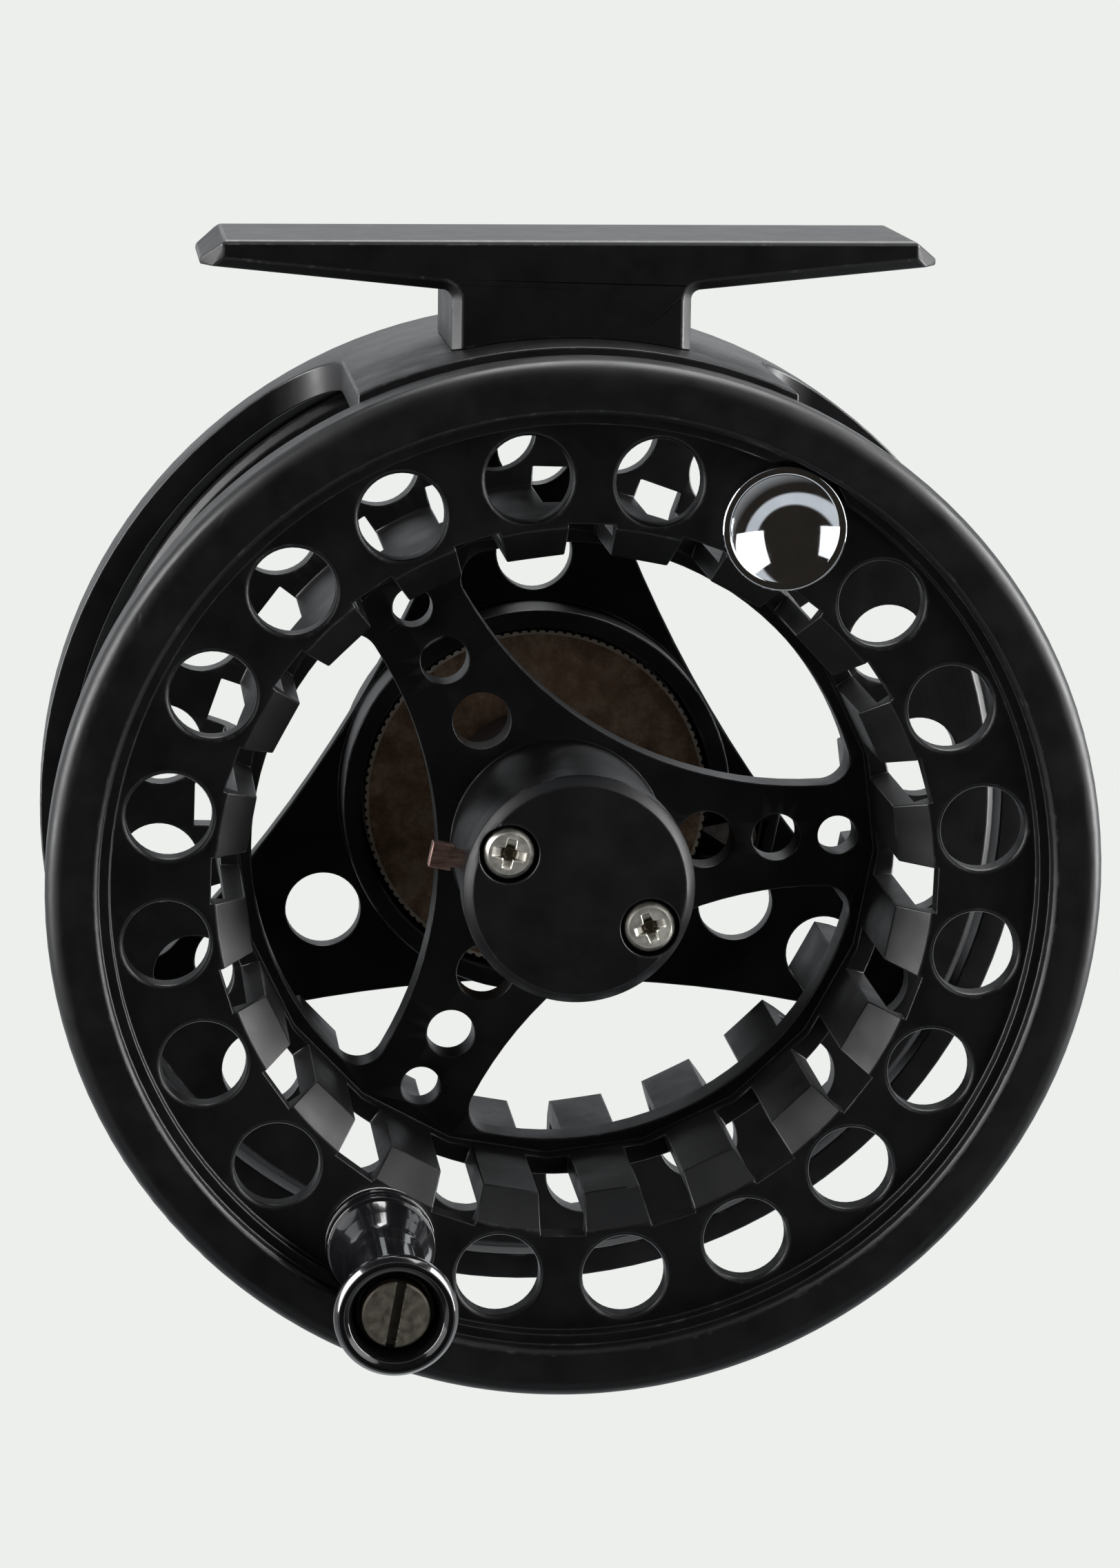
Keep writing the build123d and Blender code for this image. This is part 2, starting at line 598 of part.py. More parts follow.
with BuildPart() as spool:
    # Rim, ledge and web, then the arbor, the rear flange and the spider's disc.
    turned(
        [
            (ARBOR_FLAT - 1, WEB_DROP),
            (RIM_INNER - BEAD_WIDTH, WEB_DROP),
            (RIM_INNER - BEAD_WIDTH, BEAD_DROP),
            (RIM_INNER, BEAD_DROP),
            (RIM_INNER, RIM_EDGE),
            (RIM_INNER + RIM_EDGE, 0),
            (RIM_RADIUS, 0),
            (RIM_RADIUS, RIM_DEPTH),
            (RIM_INNER + 1.2, RIM_DEPTH),
            (RIM_INNER, WEB_REAR),
            (ARBOR_FLAT - 1, WEB_REAR),
        ]
    )
    rim_corner = spool.edges().filter_by(GeomType.CIRCLE).filter_by(
        lambda e: abs(e.radius - RIM_RADIUS) < 0.01
    )
    fillet(rim_corner.sort_by(Axis.Y)[0], RIM_ROUND)
    fillet(
        spool.edges().filter_by(GeomType.CIRCLE).filter_by(
            lambda e: abs(e.radius - RIM_RADIUS) < 0.01
        ).sort_by(Axis.Y)[-1],
        RIM_ROUND / 2,
    )
    tube(ARBOR_RADIUS, ARBOR_FLAT - 1, WEB_DROP, REAR_FLANGE_REAR)
    turned(
        [
            (ARBOR_FLAT - 1, REAR_FLANGE_FRONT),
            (REAR_FLANGE_RADIUS - REAR_FLANGE_ROUND, REAR_FLANGE_FRONT),
            (REAR_FLANGE_RADIUS, REAR_FLANGE_FRONT + REAR_FLANGE_ROUND),
            (REAR_FLANGE_RADIUS, REAR_FLANGE_REAR),
            (ARBOR_FLAT - 1, REAR_FLANGE_REAR),
        ]
    )
    # The arbor's inside is a many-sided hole, with a flat behind each port.
    for clear_front, clear_rear in ((0, SPIDER_FRONT), (SPIDER_REAR, REAR_FLANGE_REAR)):
        with BuildSketch(facing(clear_rear, COUNTERWEIGHT_ANGLE)) as arbor_hole:
            RegularPolygon(
                ARBOR_FLAT, PORT_COUNT, major_radius=False, rotation=PORT_PITCH / 2
            )
        extrude(arbor_hole.sketch, amount=clear_rear - clear_front, mode=Mode.SUBTRACT)
    # Bevels round the two openings.
    bevel_inner = ARBOR_FLAT - 1
    bevel_outer = ARBOR_FLAT + ARBOR_BEVEL
    turned(
        [
            (bevel_inner, WEB_DROP - 1),
            (bevel_outer + 1, WEB_DROP - 1),
            (bevel_outer, WEB_DROP),
            (bevel_inner, WEB_DROP + bevel_outer - bevel_inner),
        ],
        mode=Mode.SUBTRACT,
    )
    turned(
        [
            (bevel_inner, REAR_FLANGE_REAR + 1),
            (bevel_outer, REAR_FLANGE_REAR + 1),
            (bevel_outer - 1, REAR_FLANGE_REAR),
            (bevel_inner, REAR_FLANGE_REAR - REAR_BEVEL),
        ],
        mode=Mode.SUBTRACT,
    )
    # Slots between the ports, in front of the spider and behind it.
    for slot in range(PORT_COUNT):
        slot_angle = COUNTERWEIGHT_ANGLE + (slot + 0.5) * PORT_PITCH
        for slot_front, slot_rear, bite in (
            (0, SPIDER_FRONT - SLOT_END, FRONT_SLOT_BITE),
            (SPIDER_REAR + SLOT_END, REAR_FLANGE_REAR + 1, REAR_SLOT_BITE),
        ):
            with BuildSketch(facing(slot_rear, slot_angle)) as slot_cut:
                with Locations((ARBOR_RADIUS + bite / 2 - ARBOR_WALL, 0)):
                    Rectangle(bite + 2 * ARBOR_WALL, SLOT_WIDTH)
            extrude(slot_cut.sketch, amount=slot_rear - slot_front, mode=Mode.SUBTRACT)
    # Ports through the web and the rear flange.
    for port in range(PORT_COUNT):
        port_angle = COUNTERWEIGHT_ANGLE + port * PORT_PITCH
        round_hole(PORT_RADIUS, REAR_FLANGE_FRONT, REAR_FLANGE_REAR, port_angle, PORT_CIRCLE)
        if port % (PORT_COUNT // 2):
            turned(
                [
                    (0, WEB_DROP),
                    (PORT_RADIUS + PORT_EDGE, WEB_DROP),
                    (PORT_RADIUS, WEB_DROP + PORT_EDGE),
                    (PORT_RADIUS, WEB_REAR),
                    (0, WEB_REAR),
                ],
                port_angle,
                PORT_CIRCLE,
                Mode.SUBTRACT,
            )
    round_hole(HANDLE_FLARE + AIR, BEAD_DROP, WEB_DROP, HANDLE_ANGLE, PORT_CIRCLE)
    round_hole(HANDLE_POST, WEB_DROP, WEB_REAR, HANDLE_ANGLE, PORT_CIRCLE)
    round_hole(
        COUNTERWEIGHT_RADIUS + AIR, BEAD_DROP, WEB_DROP, COUNTERWEIGHT_ANGLE, PORT_CIRCLE
    )
    round_hole(COUNTERWEIGHT_STUD, WEB_DROP, WEB_REAR, COUNTERWEIGHT_ANGLE, PORT_CIRCLE)
    # Spider: a disc with a ledge round it, opened by three windows and the spokes' holes.
    tube(ARBOR_RADIUS - ARBOR_WALL / 2, 0, SPIDER_FRONT, SPIDER_REAR)
    for spoke_angle in SPOKE_ANGLES:
        lens_window(
            SPIDER_RING,
            SPIDER_WINDOW_INNER,
            SPIDER_WINDOW_SWEEP,
            SPIDER_WINDOW_CORNER,
            SPIDER_FRONT,
            SPIDER_REAR,
            spoke_angle + 60,
        )
        for hole_at, hole_radius in SPOKE_HOLES:
            round_hole(hole_radius, SPIDER_FRONT, SPIDER_REAR, spoke_angle, hole_at)
    # Hub, bored for the bearings, the release and the drive hexagon.
    tube(HUB_RADIUS, 0, HUB_FRONT, SPIDER_REAR)
    tube(HUB_TAIL_RADIUS, 0, SPIDER_REAR, HUB_REAR)
    hub_bore = SPINDLE_RADIUS + 0.6
    tube(hub_bore, 0, HUB_FRONT, HUB_REAR, mode=Mode.SUBTRACT)
    tube(BEARING_RADIUS, 0, HUB_FRONT, BEARING_FRONTS[0] + BEARING_WIDTH, mode=Mode.SUBTRACT)
    tube(BEARING_RADIUS, 0, BEARING_FRONTS[1], HUB_REAR, mode=Mode.SUBTRACT)
    socket_front = BEARING_FRONTS[1] + BEARING_WIDTH
    with BuildSketch(facing(HUB_REAR)) as hex_socket:
        RegularPolygon(SLEEVE_HEX / 2 + SLIDING, 6, major_radius=False)
    extrude(hex_socket.sketch, amount=HUB_REAR - socket_front, mode=Mode.SUBTRACT)
    stem_slot_rear = GROOVE_FRONT + 0.1 + LATCH_WALL + 0.1
    with BuildSketch(facing(stem_slot_rear, LATCH_ANGLE)) as stem_slot:
        with Locations((HUB_RADIUS / 2 + 2, 0)):
            Rectangle(HUB_RADIUS, LATCH_STEM + 0.2)
    extrude(stem_slot.sketch, amount=stem_slot_rear - HUB_FRONT, mode=Mode.SUBTRACT)
    for side in (0, 180):
        round_hole(
            CAP_SCREW_SHANK,
            HUB_FRONT,
            CAP_FRONT + CAP_SCREW_HEAD_DEPTH + CAP_SCREW_LENGTH + 0.5,
            CAP_SCREW_ANGLE + side,
            CAP_SCREW_CIRCLE,
        )
save(spool.part, "spool")

# ---------------------------------------------------------------- hub cap, release latch and clip

head_rear = CAP_FRONT + 0.15 + CAP_SCREW_HEAD_DEPTH

with BuildPart() as hub_cap:
    turned(
        [
            (0, CAP_FRONT),
            (CAP_RADIUS - CAP_CHAMFER, CAP_FRONT),
            (CAP_RADIUS, CAP_FRONT + CAP_CHAMFER),
            (CAP_RADIUS, HUB_FRONT),
            (SPINDLE_RADIUS + 0.6, HUB_FRONT),
            (SPINDLE_RADIUS + 0.6, SPINDLE_FRONT - AIR),
            (0, SPINDLE_FRONT - AIR),
        ]
    )
    for side in (0, 180):
        screw_angle = CAP_SCREW_ANGLE + side
        round_hole(CAP_SCREW_SHANK, CAP_FRONT, HUB_FRONT, screw_angle, CAP_SCREW_CIRCLE)
        round_hole(
            CAP_SCREW_HEAD + COUNTERBORE_GAP, CAP_FRONT, head_rear, screw_angle, CAP_SCREW_CIRCLE
        )
save(hub_cap.part, "hub_cap")

with BuildPart() as cap_screws:
    for side in (0, 180):
        screw_angle = CAP_SCREW_ANGLE + side
        screw_rear = head_rear + CAP_SCREW_LENGTH
        head_front = head_rear - CAP_SCREW_HEAD_DEPTH
        turned(
            [
                (0, head_front),
                (CAP_SCREW_HEAD - 0.5, head_front),
                (CAP_SCREW_HEAD - 0.12, head_front + 0.25),
                (CAP_SCREW_HEAD, head_front + 0.6),
                (CAP_SCREW_HEAD, head_rear),
                (CAP_SCREW_SHANK, head_rear),
                (CAP_SCREW_SHANK, screw_rear),
                (0, screw_rear),
            ],
            screw_angle,
            CAP_SCREW_CIRCLE,
        )
        # Cross recess, each screw stopped at its own turn.
        recess_turn = 177 + side / 9
        recess_floor = head_front + CROSS_DEPTH
        with BuildSketch(
            facing(recess_floor, screw_angle, CAP_SCREW_CIRCLE, recess_turn)
        ) as recess:
            Rectangle(CROSS_LENGTH, CROSS_WIDTH)
            Rectangle(CROSS_WIDTH, CROSS_LENGTH)
        extrude(recess.sketch, amount=CROSS_DEPTH, mode=Mode.SUBTRACT)
save(cap_screws.part, "cap_screws")

with BuildPart() as release_latch:
    # Tab outside the hub, and a stem with a wedge that spreads the clip's legs.
    latch_front = GROOVE_FRONT + 0.1
    latch_rear = latch_front + LATCH_WALL
    with BuildSketch(facing(latch_rear, LATCH_ANGLE)) as latch_plan:
        with BuildLine():
            Polyline(
                (LATCH_TIP, -1.0),
                (LATCH_TIP + 1.2, -1.5),
                (LATCH_TIP + 1.2, -LATCH_STEM / 2),
                (HUB_RADIUS + LATCH_TRAVEL + 0.1, -LATCH_STEM / 2),
                (HUB_RADIUS + LATCH_TRAVEL + 0.1, -LATCH_WIDTH / 2),
                (LATCH_REACH, -LATCH_WIDTH / 2),
                (LATCH_REACH, LATCH_WIDTH / 2),
                (HUB_RADIUS + LATCH_TRAVEL + 0.1, LATCH_WIDTH / 2),
                (HUB_RADIUS + LATCH_TRAVEL + 0.1, LATCH_STEM / 2),
                (LATCH_TIP + 1.2, LATCH_STEM / 2),
                (LATCH_TIP + 1.2, 1.5),
                (LATCH_TIP, 1.0),
                close=True,
            )
        make_face()
    extrude(latch_plan.sketch, amount=LATCH_WALL)
save(release_latch.part, "release_latch")

with BuildPart() as latch_clip:
    # Hairpin of spring wire: its legs lie in the spindle's front groove.
    leg = GROOVE_RADIUS + CLIP_ENGAGE + CLIP_WIRE
    clip_depth = GROOVE_FRONT + GROOVE_WIDTH / 2
    clip_plane = facing(clip_depth, LATCH_ANGLE)
    with BuildLine(clip_plane) as clip_path:
        first_leg = Line((2.6, leg), (-1.2, leg))
        bend = RadiusArc(first_leg @ 1, (-1.2, -leg), -leg)
        Line(bend @ 1, (2.6, -leg))
    with BuildSketch(Plane(origin=first_leg @ 0, z_dir=first_leg % 0)) as wire_section:
        Circle(CLIP_WIRE)
    sweep(wire_section.sketch, path=clip_path.wires()[0])
save(latch_clip.part, "latch_clip")

# ---------------------------------------------------------------- handle and counterweight

POST_FRONT = HANDLE_END + HANDLE_DISH_DEPTH
SCREW_HEAD_FRONT = POST_FRONT - 0.1 - HANDLE_SCREW_HEAD_DEPTH

with BuildPart() as handle_post:
    tube(HANDLE_POST, 0, POST_FRONT - 0.1, WEB_REAR, HANDLE_ANGLE, PORT_CIRCLE)
    rivet_rear = WEB_REAR + HANDLE_RIVET_WALL
    tube(HANDLE_RIVET, 0, WEB_REAR, rivet_rear, HANDLE_ANGLE, PORT_CIRCLE)
    round_hole(HANDLE_SCREW_SHANK, POST_FRONT - 0.1, POST_FRONT + 5, HANDLE_ANGLE, PORT_CIRCLE)
save(handle_post.part, "handle_post")

with BuildPart() as handle_washer:
    tube(
        HANDLE_FLARE - 0.2, HANDLE_POST, WEB_DROP - HANDLE_WASHER, WEB_DROP, HANDLE_ANGLE, PORT_CIRCLE
    )
save(handle_washer.part, "handle_washer")

with BuildPart() as handle_knob:
    # Spool-shaped grip: a grooved flare at the web, a waist and a dished end flange.
    base = HANDLE_BACK
    turned(
        [
            (HANDLE_BORE, base),
            (HANDLE_FLARE - 0.2, base),
            (HANDLE_FLARE, base - 0.3),
            (HANDLE_FLARE, base - 1.0),
            (HANDLE_FLARE - 0.35, base - 1.2),
            (HANDLE_FLARE - 0.05, base - 1.5),
            (HANDLE_FLARE - 0.15, base - 2.3),
            (HANDLE_FLARE - 0.55, base - 2.5),
            (HANDLE_FLARE - 0.3, base - 2.8),
            (HANDLE_FLARE - 0.75, base - 4.0),
            (HANDLE_WAIST + 0.15, base - 5.8),
            (HANDLE_WAIST, base - 7.6),
            (HANDLE_WAIST, HANDLE_END + 6.2),
            (HANDLE_WAIST + 0.3, HANDLE_END + 4.2),
            (HANDLE_WAIST + 1.0, HANDLE_END + 2.6),
            (HANDLE_FLANGE - 0.25, HANDLE_END + 1.7),
            (HANDLE_FLANGE, HANDLE_END + 1.3),
            (HANDLE_FLANGE, HANDLE_END + 0.6),
            (HANDLE_FLANGE - 0.35, HANDLE_END + 0.12),
            (HANDLE_FLANGE - 0.7, HANDLE_END),
            (HANDLE_DISH, HANDLE_END + 0.25),
            (HANDLE_SCREW_HEAD + 0.4, HANDLE_END + HANDLE_DISH_DEPTH),
            (HANDLE_BORE, HANDLE_END + HANDLE_DISH_DEPTH),
        ],
        HANDLE_ANGLE,
        PORT_CIRCLE,
    )
save(handle_knob.part, "handle_knob")

with BuildPart() as handle_bushing:
    tube(
        HANDLE_BORE, HANDLE_POST + RUNNING, HANDLE_END + HANDLE_DISH_DEPTH, base,
        HANDLE_ANGLE, PORT_CIRCLE,
    )
save(handle_bushing.part, "handle_bushing")

with BuildPart() as handle_screw:
    tube(HANDLE_SCREW_HEAD, 0, SCREW_HEAD_FRONT, POST_FRONT - 0.1, HANDLE_ANGLE, PORT_CIRCLE)
    tube(HANDLE_SCREW_SHANK, 0, POST_FRONT - 0.1, POST_FRONT + 4.5, HANDLE_ANGLE, PORT_CIRCLE)
    head_rim = handle_screw.edges().filter_by(GeomType.CIRCLE).sort_by(Axis.Y)[0]
    chamfer(head_rim, 0.2)
    slot_floor = SCREW_HEAD_FRONT + SCREW_SLOT_DEPTH
    with BuildSketch(
        facing(slot_floor, HANDLE_ANGLE, PORT_CIRCLE, SCREW_SLOT_TURN)
    ) as head_slot:
        Rectangle(3 * HANDLE_SCREW_HEAD, SCREW_SLOT_WIDTH)
    extrude(head_slot.sketch, amount=SCREW_SLOT_DEPTH, mode=Mode.SUBTRACT)
save(handle_screw.part, "handle_screw")

with BuildPart() as counterweight:
    weight_front = WEB_DROP - COUNTERWEIGHT_PROUD
    dish_steps = 8
    mouth = COUNTERWEIGHT_RADIUS - 0.5
    dish = [
        (mouth * step / dish_steps, weight_front + COUNTERWEIGHT_DISH * (1 - (step / dish_steps) ** 2))
        for step in range(dish_steps + 1)
    ]
    turned(
        dish
        + [
            (COUNTERWEIGHT_RADIUS - 0.2, weight_front),
            (COUNTERWEIGHT_RADIUS, weight_front + 0.2),
            (COUNTERWEIGHT_RADIUS, WEB_DROP),
            (COUNTERWEIGHT_STUD, WEB_DROP),
            (COUNTERWEIGHT_STUD, WEB_REAR),
            (0, WEB_REAR),
        ],
        COUNTERWEIGHT_ANGLE,
        PORT_CIRCLE,
    )
save(counterweight.part, "counterweight")

# ---------------------------------------------------------------- drive sleeve and one-way clutch

with BuildPart() as drive_sleeve:
    with BuildSketch(facing(SLEEVE_HEX_FRONT + SLEEVE_HEX_LENGTH)) as sleeve_hex:
        RegularPolygon(SLEEVE_HEX / 2, 6, major_radius=False)
    extrude(sleeve_hex.sketch, amount=SLEEVE_HEX_LENGTH)
    tube(SLEEVE_RADIUS, 0, SLEEVE_HEX_FRONT + 1, SLEEVE_REAR)
    tube(BOLT_RADIUS, 0, SLEEVE_HEX_FRONT, SLEEVE_REAR, mode=Mode.SUBTRACT)
save(drive_sleeve.part, "drive_sleeve")

ROLLER_CIRCLE = SLEEVE_RADIUS + SLIDING + ROLLER_RADIUS
CLUTCH_REAR = DISC_REAR + CLUTCH_LENGTH

with BuildPart() as drag_disc:
    # Toothed disc with the boss that holds the clutch.
    tube(DISC_RADIUS, DISC_BORE, DISC_FRONT, DISC_REAR)
    tube(CLUTCH_OUTER + DISC_BOSS_WALL, CLUTCH_OUTER, DISC_REAR, CLUTCH_REAR)
    with BuildSketch(facing(DISC_REAR)) as tooth_gaps:
        with PolarLocations(DISC_RADIUS, DISC_TEETH):
            Circle(DISC_TOOTH)
    extrude(tooth_gaps.sketch, amount=DISC_WALL, mode=Mode.SUBTRACT)
save(drag_disc.part, "drag_disc")

with BuildPart() as clutch_shell:
    tube(CLUTCH_OUTER, CLUTCH_OUTER - CLUTCH_WALL, DISC_REAR, CLUTCH_REAR)
save(clutch_shell.part, "clutch_shell")

with BuildPart() as clutch_rollers:
    for roller in range(CLUTCH_ROLLERS):
        tube(
            ROLLER_RADIUS, 0, DISC_REAR + 0.8, CLUTCH_REAR - 0.6,
            roller * 360 / CLUTCH_ROLLERS, ROLLER_CIRCLE,
        )
save(clutch_rollers.part, "clutch_rollers")

with BuildPart() as clutch_cage:
    cage_inner = SLEEVE_RADIUS + 0.25
    cage_outer = CLUTCH_OUTER - CLUTCH_WALL - 0.2
    tube(cage_outer, cage_inner, DISC_REAR + 0.2, CLUTCH_REAR - 0.2)
    for roller in range(CLUTCH_ROLLERS):
        round_hole(
            ROLLER_RADIUS + 0.08, DISC_REAR + 0.7, CLUTCH_REAR - 0.5,
            roller * 360 / CLUTCH_ROLLERS, ROLLER_CIRCLE,
        )
save(clutch_cage.part, "clutch_cage")

# ---------------------------------------------------------------- drag stack

with BuildPart() as drag_washer:
    tube(STACK_RADIUS - 0.6, WASHER_BORE, DISC_REAR, WASHER_REAR)
save(drag_washer.part, "drag_washer")

with BuildPart() as pressure_plate:
    tube(STACK_RADIUS, WASHER_BORE, WASHER_REAR, PRESSURE_REAR)
save(pressure_plate.part, "pressure_plate")

with BuildPart() as drag_springs:
    # Two dished rings, back to back.
    half = DRAG_SPRING_HEIGHT / 2
    for flip in (0, 1):
        rise = half - DRAG_SPRING_WIRE
        ends = (PRESSURE_REAR, PRESSURE_REAR + rise) if flip else (PRESSURE_REAR + rise, PRESSURE_REAR)
        shift = half if flip else 0
        turned(
            [
                (WASHER_BORE + 0.4, ends[0] + shift),
                (STACK_RADIUS - 1.5, ends[1] + shift),
                (STACK_RADIUS - 1.5, ends[1] + shift + DRAG_SPRING_WIRE),
                (WASHER_BORE + 0.4, ends[0] + shift + DRAG_SPRING_WIRE),
            ]
        )
save(drag_springs.part, "drag_springs")

with BuildPart() as thrust_plate:
    tube(STACK_RADIUS - 0.6, WASHER_BORE, SPRINGS_REAR, THRUST_REAR)
save(thrust_plate.part, "thrust_plate")

with BuildPart() as drag_nut:
    tube(NUT_RADIUS, NUT_BORE, NUT_FRONT, NUT_FRONT + NUT_WALL)
    for pin_angle in PUSH_PIN_ANGLES:
        tube(PUSH_PIN_RADIUS, 0, THRUST_REAR, NUT_FRONT, pin_angle, PUSH_PIN_CIRCLE)
save(drag_nut.part, "drag_nut")

# ---------------------------------------------------------------- drag knob

with BuildPart() as drag_knob:
    tube(KNOB_RADIUS, 0, KNOB_FRONT, KNOB_REAR)
    rear_rim = drag_knob.edges().filter_by(GeomType.CIRCLE).sort_by(Axis.Y)[-1]
    fillet(rear_rim, KNOB_EDGE)
    for scallop in range(KNOB_SCALLOPS):
        round_hole(
            KNOB_SCALLOP_RADIUS,
            KNOB_FRONT,
            KNOB_REAR,
            scallop * 360 / KNOB_SCALLOPS,
            KNOB_RADIUS + KNOB_SCALLOP_RADIUS - KNOB_SCALLOP_BITE,
        )
    # Threaded cavity for the nut, round a collar that runs on the cup's boss.
    collar = BOSS_RADIUS + RUNNING + KNOB_COLLAR_WALL
    tube(NUT_RADIUS + 0.1, collar, KNOB_FRONT, KNOB_CAVITY_REAR, mode=Mode.SUBTRACT)
    tube(BOSS_RADIUS + RUNNING, 0, KNOB_FRONT, BOSS_REAR + 0.2, mode=Mode.SUBTRACT)
    tube(SPINDLE_TAIL_RADIUS + 0.1, 0, BOSS_REAR + 0.2, KNOB_REAR, mode=Mode.SUBTRACT)
    tube(KNOB_SCREW_HEAD + 0.4, 0, tail_rear, KNOB_REAR, mode=Mode.SUBTRACT)
    tube(KNOB_CAP_RADIUS, 0, KNOB_REAR - KNOB_CAP_WALL, KNOB_REAR, mode=Mode.SUBTRACT)
    round_hole(DETENT_BALL + SLIDING, KNOB_FRONT, KNOB_FRONT + DETENT_HOLE, 90, DETENT_CIRCLE)
save(drag_knob.part, "drag_knob")

with BuildPart() as knob_screw:
    head_front = tail_rear + 0.1
    head_rear = head_front + KNOB_SCREW_HEAD_DEPTH
    tube(KNOB_SCREW_RADIUS, 0, BOSS_REAR - KNOB_SCREW_REACH, head_front)
    tube(KNOB_SCREW_HEAD, 0, head_front, head_rear)
    with BuildSketch(facing(head_rear)) as socket:
        RegularPolygon(KNOB_SCREW_RADIUS, 6, major_radius=False)
    extrude(socket.sketch, amount=KNOB_SCREW_SOCKET, mode=Mode.SUBTRACT)
save(knob_screw.part, "knob_screw")

with BuildPart() as knob_cap:
    tube(KNOB_CAP_RADIUS, 0, KNOB_REAR - KNOB_CAP_WALL, KNOB_REAR)
    chamfer(knob_cap.edges().filter_by(GeomType.CIRCLE).sort_by(Axis.Y)[-1], KNOB_CAP_EDGE)
save(knob_cap.part, "knob_cap")

with BuildPart() as detent_ball:
    ball_depth = CUP_REAR + 0.05 + DETENT_BALL
    with Locations(facing(ball_depth, 90, DETENT_CIRCLE).origin):
        Sphere(DETENT_BALL)
save(detent_ball.part, "detent_ball")

with BuildPart() as detent_spring:
    # Close coil behind the ball.
    coil_front = ball_depth + DETENT_BALL + 2 * COIL_WIRE
    coil_length = KNOB_FRONT + DETENT_HOLE - 2 * COIL_WIRE - coil_front
    with BuildLine() as coil:
        Helix(
            pitch=coil_length / COIL_TURNS,
            height=coil_length,
            radius=COIL_RADIUS,
            center=facing(coil_front, 90, DETENT_CIRCLE).origin,
            direction=(0, 1, 0),
        )
    with BuildSketch(Plane(origin=coil.line @ 0, z_dir=coil.line % 0)) as coil_wire:
        Circle(COIL_WIRE)
    sweep(coil_wire.sketch, path=coil.wires()[0], is_frenet=True)
save(detent_spring.part, "detent_spring")

# ---------------------------------------------------------------- click pawl

with BuildPart() as click_pawl:
    # Rocking lever whose nose stands just clear of the disc's teeth.
    nose_at = DISC_RADIUS + PAWL_TIP_GAP
    with BuildSketch(facing(PAWL_REAR, CLICK_ANGLE)) as pawl_plan:
        with Locations((PAWL_PIVOT, 0)):
            Circle(PAWL_RADIUS)
        with BuildLine():
            Polyline(
                (nose_at, -PAWL_NOSE / 2),
                (nose_at, PAWL_NOSE / 2),
                (PAWL_PIVOT, PAWL_RADIUS),
                (PAWL_PIVOT, -PAWL_RADIUS),
                close=True,
            )
        make_face()
        with Locations((PAWL_PIVOT, 0)):
            Circle(PAWL_PIN + RUNNING, mode=Mode.SUBTRACT)
    extrude(pawl_plan.sketch, amount=PAWL_WALL)
save(click_pawl.part, "click_pawl")

with BuildPart() as pawl_pin:
    tube(PAWL_PIN, 0, PAWL_REAR - PAWL_WALL - 0.2, PLATE_REAR, CLICK_ANGLE, PAWL_PIVOT)
save(pawl_pin.part, "pawl_pin")

with BuildPart() as click_spring:
    # Flat spring across the pocket's end, against the pawl's heel.
    leaf_at = PAWL_PIVOT + PAWL_RADIUS + 0.1
    with BuildSketch(facing(PAWL_REAR - 0.1, CLICK_ANGLE)) as leaf:
        with Locations((leaf_at + CLICK_SPRING_WALL / 2, 0)):
            Rectangle(CLICK_SPRING_WALL, 2 * CLICK_POCKET_RADIUS)
    extrude(leaf.sketch, amount=PAWL_WALL - 0.2)
save(click_spring.part, "click_spring")
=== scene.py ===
# %% [markdown]
# A fly reel, from its handle side. The engineering model is loaded first and never moves. Every
# piece below is built round it, in metres, and rides on one of its bodies, so that the spool still
# spins and pulls off, the handle turns and the drag knob winds.

# %% Load the engineering model
import json
import math

import bmesh
import bpy
import numpy as np
from mathutils import Matrix, Vector


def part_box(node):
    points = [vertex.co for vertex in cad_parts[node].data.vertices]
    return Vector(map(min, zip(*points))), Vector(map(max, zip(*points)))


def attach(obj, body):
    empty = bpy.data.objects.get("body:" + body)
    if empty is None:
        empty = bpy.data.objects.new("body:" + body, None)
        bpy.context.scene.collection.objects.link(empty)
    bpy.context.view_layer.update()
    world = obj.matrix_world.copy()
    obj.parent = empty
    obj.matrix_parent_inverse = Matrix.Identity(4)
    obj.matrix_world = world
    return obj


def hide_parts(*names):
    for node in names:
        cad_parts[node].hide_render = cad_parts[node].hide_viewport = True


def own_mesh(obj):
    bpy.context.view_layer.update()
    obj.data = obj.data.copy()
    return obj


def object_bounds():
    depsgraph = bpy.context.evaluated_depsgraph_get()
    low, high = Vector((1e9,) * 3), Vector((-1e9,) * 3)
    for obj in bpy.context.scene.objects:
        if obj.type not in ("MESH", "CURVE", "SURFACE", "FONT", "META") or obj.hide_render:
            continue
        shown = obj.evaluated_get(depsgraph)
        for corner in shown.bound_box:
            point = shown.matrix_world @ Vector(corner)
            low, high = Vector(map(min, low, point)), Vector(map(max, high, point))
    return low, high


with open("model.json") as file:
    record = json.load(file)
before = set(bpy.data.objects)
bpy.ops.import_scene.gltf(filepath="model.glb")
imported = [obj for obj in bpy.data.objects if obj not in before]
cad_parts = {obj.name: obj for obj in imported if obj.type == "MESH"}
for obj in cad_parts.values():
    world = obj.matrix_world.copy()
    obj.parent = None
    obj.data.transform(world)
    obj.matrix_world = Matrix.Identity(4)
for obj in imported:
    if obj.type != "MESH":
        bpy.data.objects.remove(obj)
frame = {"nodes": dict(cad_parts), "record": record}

CAD_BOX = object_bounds()
MM = 0.001
NODES = frame["nodes"]
BODIES = frame["record"]["behaviour"]["bodies"]
BODY_OF = {node: body for body, members in BODIES.items() for node in members}
SLOT_OF = {part["node"]: part["material_slot"] for part in frame["record"]["subparts"]}

